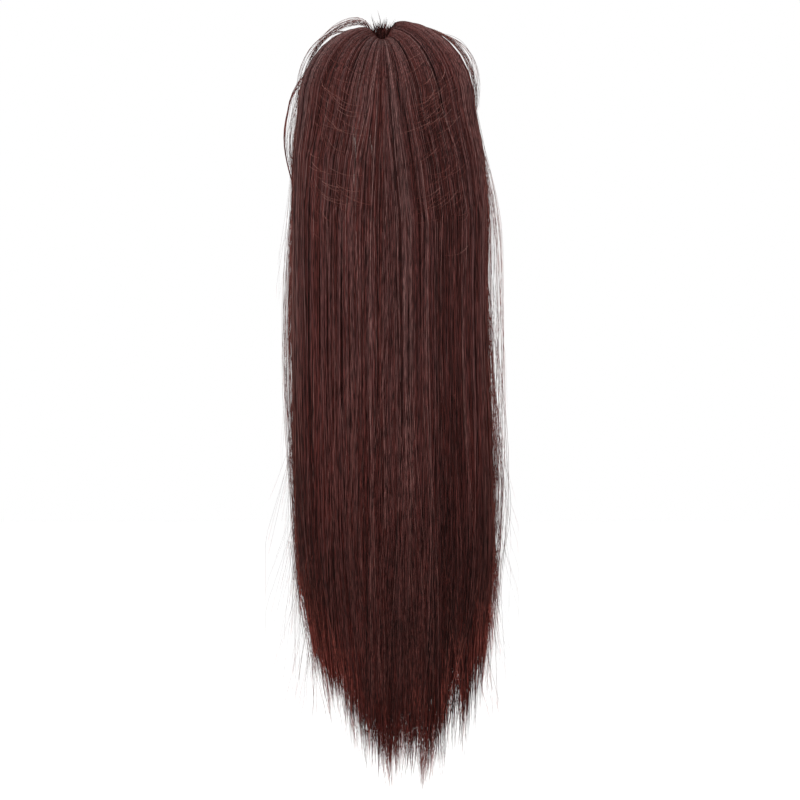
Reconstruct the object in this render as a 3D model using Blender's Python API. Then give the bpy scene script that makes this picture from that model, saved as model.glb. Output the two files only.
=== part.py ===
"""A long straight ponytail hairpiece: a hollow net cap with a comb, and the hair that hangs from it.

The frame is the hairpiece's own: the origin is the centre of the cap's open mouth, +Z is up, and +Y points
into the wearer's head, so the hair's outer side faces -Y. The hair parts at X = 0.
"""

import math

import bmesh
import bpy
import numpy as np
from mathutils import Matrix, Vector

MM = 0.001
GAP = 0.35 * MM  # clearance between pieces that touch
HAIR_CLEARANCE = 0.8 * MM  # room between the cap's round wall and the flat facets of the hair over it

# The cap: half an ellipsoid, open towards +Y
CAP_HALF_WIDTH = 48 * MM
CAP_HALF_HEIGHT = 46 * MM
CAP_DEPTH = 42 * MM
CAP_WALL = 1.6 * MM
CAP_COLUMNS = 36
CAP_ROWS = 7
HEM_WIDTH = 5 * MM
HEM_THICKNESS = 3 * MM

# The comb: a spine that follows the mouth's upper rim, with straight teeth
COMB_HALF_ANGLE = math.radians(27)
COMB_TEETH = 9
COMB_SPINE_HEIGHT = 4.5 * MM
COMB_THICKNESS = 2 * MM
COMB_TOOTH_LENGTH = 17 * MM
COMB_TOOTH_ROOT = 1.6 * MM
COMB_TOOTH_TIP = 0.9 * MM
COMB_BACK = -6 * MM  # the comb's face nearest the cap's bottom

# The crown of the hair: two lobes round the root
ROOT_Y = -10 * MM
ROOT_HEIGHT = 68 * MM
SHOULDER_HEIGHT = 14 * MM  # where the domed crown turns into the straight fall
LOBE_TOP = {"left": 75 * MM, "right": 79.5 * MM}
PARTING_TOP = 71 * MM
PARTING_SPREAD = math.radians(24)
DOME_POWER = 2.5
PARTING_GAP = 0.2 * MM  # half the slit between the two crown pieces
CROWN_ROWS = 6
FIRST_CROWN_ANGLE = math.radians(3)

# The fall: level sections of the hair, one row for each height, in millimetres.
# left, right and front are the outer reaches, back is the rear reach, axis is the depth at which the hair is
# widest, and wall is the thickness of the outer layer.
SECTION_COLUMNS = ("height", "left", "right", "front", "back", "axis", "wall")
SECTIONS_MM = (
    (14, 62.6, 65.5, 58, 0, -10, 15),
    (-15, 66.5, 71.0, 61, 0, -12, 18),
    (-50, 66.5, 75.0, 60, 1, -14, 17),
    (-120, 67.5, 74.5, 54, 5, -16, 15),
    (-200, 67.5, 76.0, 48, 8, -16, 14),
    (-266, 65.5, 78.5, 44, 9, -15, 13),
    (-310, 63.5, 79.0, 41, 8, -14, 12),
    (-350, 60.0, 77.0, 37, 7, -13, 11),
    (-390, 55.0, 73.0, 32, 5, -12, 9),
    (-430, 51.0, 69.0, 26, 2, -11, 7),
    (-475, 48.0, 65.0, 20, -2, -10, 5),
)
SECTION_POWER = 2.3  # 2 is an ellipse, and more is boxier
SHAFT_TOP = 0.0  # the cap's widest level, below which the inner hair hangs straight

# The locks of each outer layer, from the parting outwards: the height of each tip, in millimetres
LOCK_TIPS_MM = {
    "left": (-466, -433, -412, -397, -380, -366, -348),
    "right": (-462, -473, -468, -437, -434, -411, -388, -368),
}
LOCK_COLUMNS = 4
FALL_ROWS = 10
NOTCH_DEPTH = 34 * MM  # how far the cuts between tips reach up
TIP_TAPER = 70 * MM  # the length over which a lock thins to its tip
TIP_WALL = 1.4 * MM
LOCK_RELIEF = 2.2 * MM  # how far a lock stands out from the seams beside it

# The inner length, which hangs below the cap
UNDER_TOP = -50.5 * MM
UNDER_LOCK_TIPS_MM = (-352, -392, -424, -448, -460, -452, -428, -398, -368)
UNDER_LOCK_COLUMNS = 2
UNDER_ROWS = 11
UNDER_CLEARANCE = 0.9 * MM
NAPE_COLUMNS = 20
NAPE_ROWS = 5

# The tuft: rings from the cap's top (0) to the root (1) and beyond, and how much of the funnel each fills
TUFT_COLUMNS = ("up", "fill")
TUFT_RINGS = ((0.05, 0.55), (0.5, 0.68), (0.95, 0.74), (1.12, 0.7), (1.3, 0.35))
TUFT_SIDES = 10
TUFT_DEPTH = 0.7  # its depth over its width
TUFT_FRAY = 1.5 * MM
TUFT_TOP = 79 * MM

# The loose locks: height and how far the lock's middle stands off the hair, in millimetres, and its radius
LOOSE_COLUMNS = ("height", "off", "radius")
LOOP_LEFT = ((38, 0.9, 0.7), (24, 4.6, 1.3), (5, 7.0, 1.8), (-14, 6.8, 1.8), (-30, 4.4, 1.3), (-42, 1.5, 0.7))
LOOSE_RIGHT = (
    (-18, 1.75, 0.7),
    (-60, 5.0, 1.6),
    (-120, 6.4, 2.0),
    (-190, 5.6, 2.2),
    (-260, 4.2, 2.0),
    (-320, 3.4, 1.5),
    (-352, 1.75, 0.7),
)
LOOP_ANGLE = math.radians(-80)
LOOSE_ANGLE = math.radians(82)
LOOSE_STEPS = 3  # points on a loose lock for each row of its table


def column(table, names, name):
    """One named column of a table in millimetres, in metres."""
    return np.array([row[names.index(name)] for row in table]) * MM


def smooth(at, knots, values):
    """A smooth curve through the knots, which rise: a cubic between each pair, with averaged slopes."""
    slope = np.gradient(values, knots)
    at = np.clip(at, knots[0], knots[-1])
    k = np.clip(np.searchsorted(knots, at) - 1, 0, len(knots) - 2)
    width = knots[k + 1] - knots[k]
    t = (at - knots[k]) / width
    rise = t * t * (3 - 2 * t)
    start = values[k] * (1 - rise) + values[k + 1] * rise
    return start + width * (slope[k] * t * (1 - t) ** 2 - slope[k + 1] * t * t * (1 - t))


def section(height, name):
    """A column of the hair's sections, read at any height."""
    knots = column(SECTIONS_MM, SECTION_COLUMNS, "height")[::-1]
    return smooth(height, knots, column(SECTIONS_MM, SECTION_COLUMNS, name)[::-1])


def rounded(angle):
    """The sideways and forward shares of a boxy ellipse at this angle from the front."""
    power = 2 / SECTION_POWER
    side = np.sign(angle) * np.abs(np.sin(angle)) ** power
    return side, np.abs(np.cos(angle)) ** power


def outer_fall(angle, height):
    """The hair's outer surface at an angle from the front, negative to the left."""
    side, ahead = rounded(angle)
    reach = np.where(angle < 0, section(height, "left"), section(height, "right"))
    axis = section(height, "axis")
    return np.stack([side * reach, axis - ahead * (section(height, "front") + axis), height + 0 * side], -1)


def shaft(angle, height, clearance=0.0):
    """The surface between the outer layer and what it hangs over, from the cap's middle down."""
    side, ahead = rounded(angle)
    depth = np.clip((SHAFT_TOP - height) / (60 * MM), 0, 1)
    away = depth * depth * (3 - 2 * depth)
    wall = section(height, "wall")
    reach = np.where(angle < 0, section(height, "left"), section(height, "right")) - wall
    front = section(height, "front") - wall
    axis = section(height, "axis") * away
    reach = (CAP_HALF_WIDTH + HAIR_CLEARANCE) * (1 - away) + reach * away - clearance
    front = (CAP_DEPTH + HAIR_CLEARANCE) * (1 - away) + front * away - clearance
    side = np.sin(angle) * (1 - away) + side * away
    ahead = np.cos(angle) * (1 - away) + ahead * away
    return np.stack([side * reach, axis - ahead * (front + axis), height + 0 * side], -1)


def outer_crown(angle, lift, lobe_top):
    """The domed crown: lift runs from 0 at the root to a right angle at the shoulder."""
    out = np.sin(lift) ** (2 / DOME_POWER)
    base = outer_fall(angle, np.full(np.shape(angle), SHOULDER_HEIGHT))
    low = (lobe_top - PARTING_TOP) * np.exp(-((angle / PARTING_SPREAD) ** 2))
    top = lobe_top - low - SHOULDER_HEIGHT
    dip = (lobe_top - low - ROOT_HEIGHT) * np.exp(-((out / 0.2) ** 2))
    return np.stack(
        [
            base[..., 0] * out,
            ROOT_Y + (base[..., 1] - ROOT_Y) * out,
            SHOULDER_HEIGHT + top * np.cos(lift) - dip,
        ],
        -1,
    )


def inner_crown(angle, lift):
    """The crown's inner side, which follows the cap."""
    grown = np.array([CAP_HALF_WIDTH, CAP_DEPTH, CAP_HALF_HEIGHT]) + HAIR_CLEARANCE
    return np.stack(
        [
            grown[0] * np.sin(lift) * np.sin(angle),
            -grown[1] * np.sin(lift) * np.cos(angle),
            grown[2] * np.cos(lift) + SHAFT_TOP + 0 * angle,
        ],
        -1,
    )


def lock_profile(tips, columns):
    """For each column across the locks: its end height and its relief, from 0 in a seam to 1 on a crest."""
    count = len(tips) * columns
    place = np.arange(count + 1) / columns
    lock = np.minimum(place.astype(int), len(tips) - 1)
    tips = np.array(tips) * MM
    before = tips[np.maximum(lock - 1, 0)]
    after = tips[np.minimum(lock + 1, len(tips) - 1)]
    across = place - lock
    neighbour = np.where(across < 0.5, before, after)
    seam = np.maximum(tips[lock], neighbour) + NOTCH_DEPTH
    edge = np.abs(across - 0.5) * 2
    return tips[lock] * (1 - edge) + seam * edge, 1 - edge**2


def slab(outer, inner, name):
    """A closed body from two grids of points that face each other, with walls round their four edges."""
    rows, columns = outer.shape[:2]
    points = np.concatenate([outer.reshape(-1, 3), inner.reshape(-1, 3)])
    far = rows * columns
    grid = np.arange(far).reshape(rows, columns)
    a, b, c, d = grid[:-1, :-1], grid[:-1, 1:], grid[1:, 1:], grid[1:, :-1]
    faces = [np.stack([a, d, c, b], -1).reshape(-1, 4), np.stack([a, b, c, d], -1).reshape(-1, 4) + far]
    rim = np.concatenate([grid[0], grid[1:, -1], grid[-1, -2::-1], grid[-2:0:-1, 0]])
    after = np.roll(rim, -1)
    faces.append(np.stack([rim, after, after + far, rim + far], -1))
    return solid(name, points, np.concatenate(faces).tolist())


def solid(name, points, faces):
    """A mesh object from points and faces, with its faces turned outwards."""
    mesh = bpy.data.meshes.new(name)
    mesh.from_pydata(np.asarray(points).tolist(), [], faces)
    shaper = bmesh.new()
    shaper.from_mesh(mesh)
    bmesh.ops.recalc_face_normals(shaper, faces=shaper.faces)
    bmesh.ops.triangulate(shaper, faces=shaper.faces)
    shaper.to_mesh(mesh)
    shaper.free()
    mesh.shade_smooth()
    piece = bpy.data.objects.new(name, mesh)
    bpy.context.scene.collection.objects.link(piece)
    return piece


def fall_heights(top, ends):
    """The heights of the fall's rows: level ones down to the cap's bottom, then spread out to each end."""
    level = (top + (UNDER_TOP - top) * np.arange(1, NAPE_ROWS) / (NAPE_ROWS - 1))[:, None]
    down = (np.arange(1, FALL_ROWS + 1) / FALL_ROWS)[:, None]
    return np.concatenate([level + 0 * ends, UNDER_TOP + (ends[None, :] - UNDER_TOP) * down])


def crown_hair(side):
    """One half of the outer hair, from the parting round to the side, and from the root to the tips."""
    tips = LOCK_TIPS_MM[side]
    ends, crest = lock_profile(tips, LOCK_COLUMNS)
    turn = 1 if side == "right" else -1
    angle = turn * np.linspace(0, math.pi / 2, len(ends))
    lift = np.linspace(FIRST_CROWN_ANGLE, math.pi / 2, CROWN_ROWS)[:, None]
    across = angle[None, :] + 0 * lift
    heights = fall_heights(SHOULDER_HEIGHT, ends)
    inner_heights = fall_heights(SHAFT_TOP, ends)
    fall_angle = angle[None, :] + 0 * heights
    outer = np.concatenate(
        [outer_crown(across, lift, LOBE_TOP[side]), outer_fall(fall_angle, heights)]
    )
    inner = np.concatenate([inner_crown(across, lift), shaft(fall_angle, inner_heights)])
    relief = LOCK_RELIEF * crest[None, :] * np.clip(np.arange(len(outer)) / CROWN_ROWS, 0, 1)[:, None]
    outward = np.stack([np.sin(angle), -np.cos(angle), 0 * angle], -1)
    outer = outer + (relief - LOCK_RELIEF / 2)[..., None] * outward
    full = np.clip((outer[..., 2] - ends[None, :]) / TIP_TAPER, 0, 1)[..., None]
    inner = inner * full + (outer - TIP_WALL * outward) * (1 - full)
    shift = np.array([turn * PARTING_GAP, 0, 0])
    inner[..., 0] = turn * np.maximum(turn * inner[..., 0], 0)
    outer[..., 0] = turn * np.maximum(turn * outer[..., 0], 0)
    return slab(outer + shift, inner + shift, f"crown_hair_{side}")


def under_grid(columns, rows, top, ends):
    """The front and back of the inner length, between a level top and the given ends."""
    angle = np.linspace(-math.pi / 2, math.pi / 2, columns)
    down = np.linspace(0, 1, rows)[:, None]
    heights = top + (ends[None, :] - top) * down
    across = angle[None, :] + 0 * down
    front = shaft(across, heights, UNDER_CLEARANCE)
    back = front.copy()
    ahead = np.abs(np.cos(across)) ** 0.8
    axis = shaft(np.full_like(across, math.pi / 2), heights)[..., 1]
    back[..., 1] = axis + (section(heights, "back") - axis) * ahead + TIP_WALL
    return front, back, heights


def under_hair():
    ends, crest = lock_profile(UNDER_LOCK_TIPS_MM, UNDER_LOCK_COLUMNS)
    front, back, heights = under_grid(len(ends), UNDER_ROWS, UNDER_TOP, ends)
    back[..., 1] += LOCK_RELIEF * (crest - 1)[None, :] * np.clip((UNDER_TOP - heights) / TIP_TAPER, 0, 1)
    full = np.clip((heights - ends[None, :]) / TIP_TAPER, 0, 1)[..., None]
    middle = (front + back) / 2
    half = (back - front) / 2 * full + np.array([0, TIP_WALL / 2, 0]) * (1 - full)
    return slab(middle - half, middle + half, "under_hair")


def cap_points(angle, bulge, grow):
    """The cap's wall: angle runs round the mouth, bulge from 0 at the mouth to a right angle at the bottom."""
    return np.stack(
        [
            (CAP_HALF_WIDTH + grow) * np.cos(bulge) * np.cos(angle),
            -(CAP_DEPTH + grow) * np.sin(bulge) + 0 * angle,
            (CAP_HALF_HEIGHT + grow) * np.cos(bulge) * np.sin(angle),
        ],
        -1,
    )


def base_cap():
    """The cap as one closed wall, with a thicker folded hem round its mouth."""
    angle = np.linspace(0, 2 * math.pi, CAP_COLUMNS, endpoint=False)[None, :]
    first = math.asin(HEM_WIDTH / CAP_DEPTH)
    bulge = np.linspace(first, math.pi / 2, CAP_ROWS + 1)[:-1][::-1, None]
    outside = cap_points(angle, bulge, 0.0)
    inside = cap_points(angle, bulge[::-1], -CAP_WALL)
    hem_outside = outside[-1:] * [1, 0, 1]
    hem_inside = cap_points(angle, np.zeros((1, 1)), -HEM_THICKNESS)
    rows = np.concatenate([outside, hem_outside, hem_inside, hem_inside - [0, HEM_WIDTH, 0], inside])
    count = rows.shape[0]
    poles = np.array([[0, -CAP_DEPTH, 0], [0, -(CAP_DEPTH - CAP_WALL), 0]])
    points = np.concatenate([rows.reshape(-1, 3), poles])
    grid = np.arange(count * CAP_COLUMNS).reshape(count, CAP_COLUMNS)
    after = np.roll(grid, -1, axis=1)
    faces = np.stack([grid[:-1], after[:-1], after[1:], grid[1:]], -1).reshape(-1, 4).tolist()
    last = count * CAP_COLUMNS
    faces += [[last, b, a] for a, b in zip(grid[0], after[0])]
    faces += [[last + 1, a, b] for a, b in zip(grid[-1], after[-1])]
    return solid("base_cap", points, faces)


def comb():
    """A spine bent along the mouth's upper rim, with a row of tapering teeth fused to its underside."""
    spine_columns = COMB_TEETH * 2
    angle = math.pi / 2 + np.linspace(COMB_HALF_ANGLE, -COMB_HALF_ANGLE, spine_columns)
    inset = HEM_THICKNESS + GAP
    top = cap_points(angle, np.zeros(1), -inset)
    bottom = cap_points(angle, np.zeros(1), -inset - COMB_SPINE_HEIGHT)
    tip_height = top[:, 2].max() - COMB_SPINE_HEIGHT - COMB_TOOTH_LENGTH
    shaper = bmesh.new()
    front = []
    for high, low in zip(top, bottom):
        front.append([shaper.verts.new((p[0], COMB_BACK, p[2])) for p in (high, low)])
    faces = [
        shaper.faces.new((a[0], a[1], b[1], b[0])) for a, b in zip(front[:-1], front[1:])
    ]
    for a, b in zip(front[::2], front[1::2]):
        middle = (a[1].co.x + b[1].co.x) / 2
        tip = [
            shaper.verts.new((middle + side * COMB_TOOTH_TIP / 2, COMB_BACK, tip_height))
            for side in (-1, 1)
        ]
        faces.append(shaper.faces.new((a[1], tip[0], tip[1], b[1])))
    grown = bmesh.ops.extrude_face_region(shaper, geom=faces)["geom"]
    moved = [item for item in grown if isinstance(item, bmesh.types.BMVert)]
    bmesh.ops.translate(shaper, verts=moved, vec=Vector((0, COMB_THICKNESS, 0)))
    bmesh.ops.recalc_face_normals(shaper, faces=shaper.faces)
    mesh = bpy.data.meshes.new("comb")
    shaper.to_mesh(mesh)
    shaper.free()
    piece = bpy.data.objects.new("comb", mesh)
    bpy.context.scene.collection.objects.link(piece)
    return piece


def root_tuft():
    """A short tuft that fills the funnel between the two crown pieces and ends in a frayed point."""
    around = np.linspace(0, 2 * math.pi, TUFT_SIDES, endpoint=False)
    out = math.sin(FIRST_CROWN_ANGLE) ** (2 / DOME_POWER)
    low = math.sin(FIRST_CROWN_ANGLE) * CAP_HALF_WIDTH
    high = out * section(SHOULDER_HEIGHT, "left")
    foot = CAP_HALF_HEIGHT + HAIR_CLEARANCE
    rings = []
    for up, fill in TUFT_RINGS:
        wide = (low * (1 - up) + high * up) * fill
        fray = TUFT_FRAY * (np.arange(TUFT_SIDES) % 2) * (up > 1)
        ring = [
            wide * np.cos(around),
            wide * TUFT_DEPTH * np.sin(around) + ROOT_Y * up,
            foot * (1 - up) + ROOT_HEIGHT * up + fray,
        ]
        rings.append(np.stack(ring, -1))
    points = np.concatenate([*rings, [[0, 0, foot], [0, ROOT_Y * TUFT_RINGS[-1][0], TUFT_TOP]]])
    grid = np.arange(len(rings) * TUFT_SIDES).reshape(len(rings), TUFT_SIDES)
    after = np.roll(grid, -1, axis=1)
    faces = np.stack([grid[:-1], after[:-1], after[1:], grid[1:]], -1).reshape(-1, 4).tolist()
    low_pole = len(rings) * TUFT_SIDES
    faces += [[low_pole, b, a] for a, b in zip(grid[0], after[0])]
    faces += [[low_pole + 1, a, b] for a, b in zip(grid[-1], after[-1])]
    return solid("root_tuft", points, faces)


def outside_point(angle, height, off, lobe_top):
    """A point beside the hair at this height, standing off its outer surface."""
    if height <= SHOULDER_HEIGHT:
        base = outer_fall(np.array([angle]), np.array([height]))[0]
    else:
        lift = math.acos((height - SHOULDER_HEIGHT) / (lobe_top - SHOULDER_HEIGHT))
        base = outer_crown(np.array([angle]), np.array([lift]), lobe_top)[0]
    return base + off * np.array([math.sin(angle), -math.cos(angle), 0])


def loose_lock(name, table, angle, lobe_top):
    """A slim lock beside the hair: a round curve whose radius swells and thins along its table."""
    heights = column(table, LOOSE_COLUMNS, "height")[::-1]
    offs = column(table, LOOSE_COLUMNS, "off")[::-1]
    radii = column(table, LOOSE_COLUMNS, "radius")[::-1]
    at = np.linspace(heights[0], heights[-1], LOOSE_STEPS * (len(table) - 1) + 1)
    curve = bpy.data.curves.new(name, "CURVE")
    curve.dimensions = "3D"
    curve.bevel_depth = 1.0
    curve.bevel_resolution = 1
    curve.use_fill_caps = True
    spline = curve.splines.new("POLY")
    spline.points.add(len(at) - 1)
    for point, height in zip(spline.points, at):
        off = smooth(height, heights, offs)
        place = outside_point(angle, height, off, lobe_top)
        point.co = (*place, 1)
        point.radius = float(smooth(height, heights, radii))
    piece = bpy.data.objects.new(name, curve)
    bpy.context.scene.collection.objects.link(piece)
    return piece


def nape_hair():
    """The hair round the cap's lower half: a block between the mouth and the outer layer, less the cap."""
    bottom = np.full(NAPE_COLUMNS, UNDER_TOP + GAP)
    front, back, _ = under_grid(NAPE_COLUMNS, NAPE_ROWS, SHAFT_TOP - HAIR_CLEARANCE, bottom)
    back[..., 1] = np.minimum(back[..., 1], -TIP_WALL)
    front[:, [0, -1], 1] = back[:, [0, -1], 1] - 2 * TIP_WALL
    piece = slab(front, back, "nape_hair")
    bpy.ops.mesh.primitive_uv_sphere_add(segments=CAP_COLUMNS, ring_count=CAP_COLUMNS // 2)
    cutter = bpy.context.object
    cutter.name = "cap_cutter"
    room = HAIR_CLEARANCE
    size = (CAP_HALF_WIDTH + room, CAP_DEPTH + room, CAP_HALF_HEIGHT + room)
    cutter.data.transform(Matrix.Diagonal((*size, 1)))
    cutter.hide_render = True
    cutter.display_type = "WIRE"
    cut = piece.modifiers.new("cap_room", "BOOLEAN")
    cut.operation = "DIFFERENCE"
    cut.object = cutter
    return piece


# Colour, roughness and metallic value of each material
MATERIALS = {
    "hair": ((0.058, 0.020, 0.018), 0.42, 0.0),
    "inner_hair": ((0.035, 0.012, 0.011), 0.5, 0.0),
    "cap_net": ((0.022, 0.013, 0.012), 0.85, 0.0),
    "comb_plastic": ((0.012, 0.009, 0.009), 0.35, 0.0),
}
MATERIAL_OF = {
    "base_cap": "cap_net",
    "comb": "comb_plastic",
    "nape_hair": "inner_hair",
    "under_hair": "inner_hair",
}


def dress(piece):
    """Gives a piece its own material."""
    colour, roughness, metallic = MATERIALS[MATERIAL_OF.get(piece.name, "hair")]
    material = bpy.data.materials.new(piece.name)
    material.use_nodes = True
    shader = material.node_tree.nodes["Principled BSDF"]
    shader.inputs["Base Color"].default_value = (*colour, 1)
    shader.inputs["Roughness"].default_value = roughness
    shader.inputs["Metallic"].default_value = metallic
    material.diffuse_color = (*colour, 1)
    piece.data.materials.append(material)


def main():
    for old in list(bpy.data.objects):
        bpy.data.objects.remove(old, do_unlink=True)
    pieces = [
        base_cap(),
        comb(),
        crown_hair("left"),
        crown_hair("right"),
        nape_hair(),
        under_hair(),
        root_tuft(),
        loose_lock("loop_lock_left", LOOP_LEFT, LOOP_ANGLE, LOBE_TOP["left"]),
        loose_lock("side_lock_right", LOOSE_RIGHT, LOOSE_ANGLE, LOBE_TOP["right"]),
    ]
    for piece in pieces:
        dress(piece)


main()
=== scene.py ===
"""The looks of a long straight ponytail hairpiece: fibres over a dark core, a net cap and its comb.

The hair is worked out as whole arrays. A fibre is a thin three-sided tube whose centre line runs from the
root over the domed crown and down the fall, between two surfaces: the outer one, which gives the outline,
and the inner one, which follows the cap and the shaft below it. Heights are measured from the centre of the
cap's mouth.
"""

import logging
import math
from collections.abc import Callable
from dataclasses import dataclass
from enum import Enum

import bmesh
import bpy
import numpy as np
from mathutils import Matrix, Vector


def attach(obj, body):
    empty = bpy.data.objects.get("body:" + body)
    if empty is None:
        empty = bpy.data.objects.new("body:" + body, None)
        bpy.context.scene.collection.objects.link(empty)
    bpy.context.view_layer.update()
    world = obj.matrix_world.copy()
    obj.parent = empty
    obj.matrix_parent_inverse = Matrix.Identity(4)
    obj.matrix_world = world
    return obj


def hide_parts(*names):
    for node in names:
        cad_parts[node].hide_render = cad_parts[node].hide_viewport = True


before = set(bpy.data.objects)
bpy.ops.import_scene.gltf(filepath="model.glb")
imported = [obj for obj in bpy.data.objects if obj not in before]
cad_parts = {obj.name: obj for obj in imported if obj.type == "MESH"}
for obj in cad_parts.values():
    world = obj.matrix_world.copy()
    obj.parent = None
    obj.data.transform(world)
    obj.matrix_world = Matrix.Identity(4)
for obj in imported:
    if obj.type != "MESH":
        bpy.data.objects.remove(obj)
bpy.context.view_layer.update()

Array = np.ndarray
Colour = tuple[float, float, float]
Range = tuple[float, float]
Stops = tuple[tuple[float, Colour], ...]
Socket = bpy.types.NodeSocket
MM = 0.001
QUARTER = math.pi / 2
ROUND = 2 * math.pi
ALONG_X, ALONG_Y, ALONG_Z = np.eye(3)
NO_TRIANGLES = np.zeros((0, 3), int)
NO_TRIANGLE_MAP = np.zeros((0, 3, 2))
BODY = "root"
FIBRE_MAP = "OFBake"  # a fibre's tone runs across this map and its length runs up it

log = logging.getLogger("hairpiece")


class Side(Enum):
    """The two halves of the outer hair, seen from the front."""

    LEFT = -1
    RIGHT = 1

    @property
    def word(self) -> str:
        """The half's name in piece names."""
        return self.name.lower()


class Slot(Enum):
    """The record's material slots."""

    HAIR = "hair"
    INNER_HAIR = "inner_hair"
    NET = "cap_net"
    COMB = "comb_plastic"


@dataclass(frozen=True)
class Section:
    """A level cut through the hanging hair, in millimetres."""

    height: float
    left: float
    right: float
    front: float
    back: float
    axis: float
    wall: float


SECTIONS = (
    Section(14, 62.6, 65.5, 58, 0, -10, 15),
    Section(-15, 65.5, 70.5, 61, 0, -12, 18),
    Section(-50, 65.8, 73.5, 60, 1, -14, 17),
    Section(-120, 66.2, 73.0, 54, 5, -16, 15),
    Section(-200, 65.5, 75.5, 48, 8, -16, 14),
    Section(-266, 64.0, 77.8, 44, 9, -15, 13),
    Section(-310, 62.2, 78.0, 41, 8, -14, 12),
    Section(-350, 60.5, 77.0, 37, 7, -13, 11),
    Section(-390, 59.0, 76.5, 32, 5, -12, 9),
    Section(-430, 57.5, 76.0, 26, 2, -11, 7),
    Section(-475, 56.0, 75.5, 20, -2, -10, 5),
)


def smooth(at: Array, knots: Array, values: Array) -> Array:
    """Read a smooth curve through rising knots.

    Between two knots it is the cubic that meets both values with the averaged slopes of their neighbours.

    Args:
        at: Where to read the curve.
        knots: The rising places at which it is given.
        values: Its value at each knot.

    Returns:
        The curve's value at each place.
    """
    slope = np.gradient(values, knots)
    at = np.clip(at, knots[0], knots[-1])
    k = np.clip(np.searchsorted(knots, at) - 1, 0, len(knots) - 2)
    width = knots[k + 1] - knots[k]
    t = (at - knots[k]) / width
    rise = t * t * (3 - 2 * t)
    start = values[k] * (1 - rise) + values[k + 1] * rise
    return start + width * (slope[k] * t * (1 - t) ** 2 - slope[k + 1] * t * t * (1 - t))


def fade(value: Array, low: float, high: float) -> Array:
    """A smooth step from 0 at low to 1 at high."""
    t = np.clip((value - low) / (high - low), 0, 1)
    return t * t * (3 - 2 * t)


def unit(vectors: Array) -> Array:
    """The vectors at length one."""
    return vectors / np.maximum(np.linalg.norm(vectors, axis=-1, keepdims=True), 1e-12)


def boxy(wave: Array, power: float) -> Array:
    """A sine or cosine raised to a power, sign kept: under one, it turns a circle into a rounded box."""
    return np.sign(wave) * np.abs(wave) ** power


def round_ring(count: int) -> Array:
    """Angles that stand evenly round a circle."""
    return np.linspace(0, ROUND, count, endpoint=False)


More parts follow.
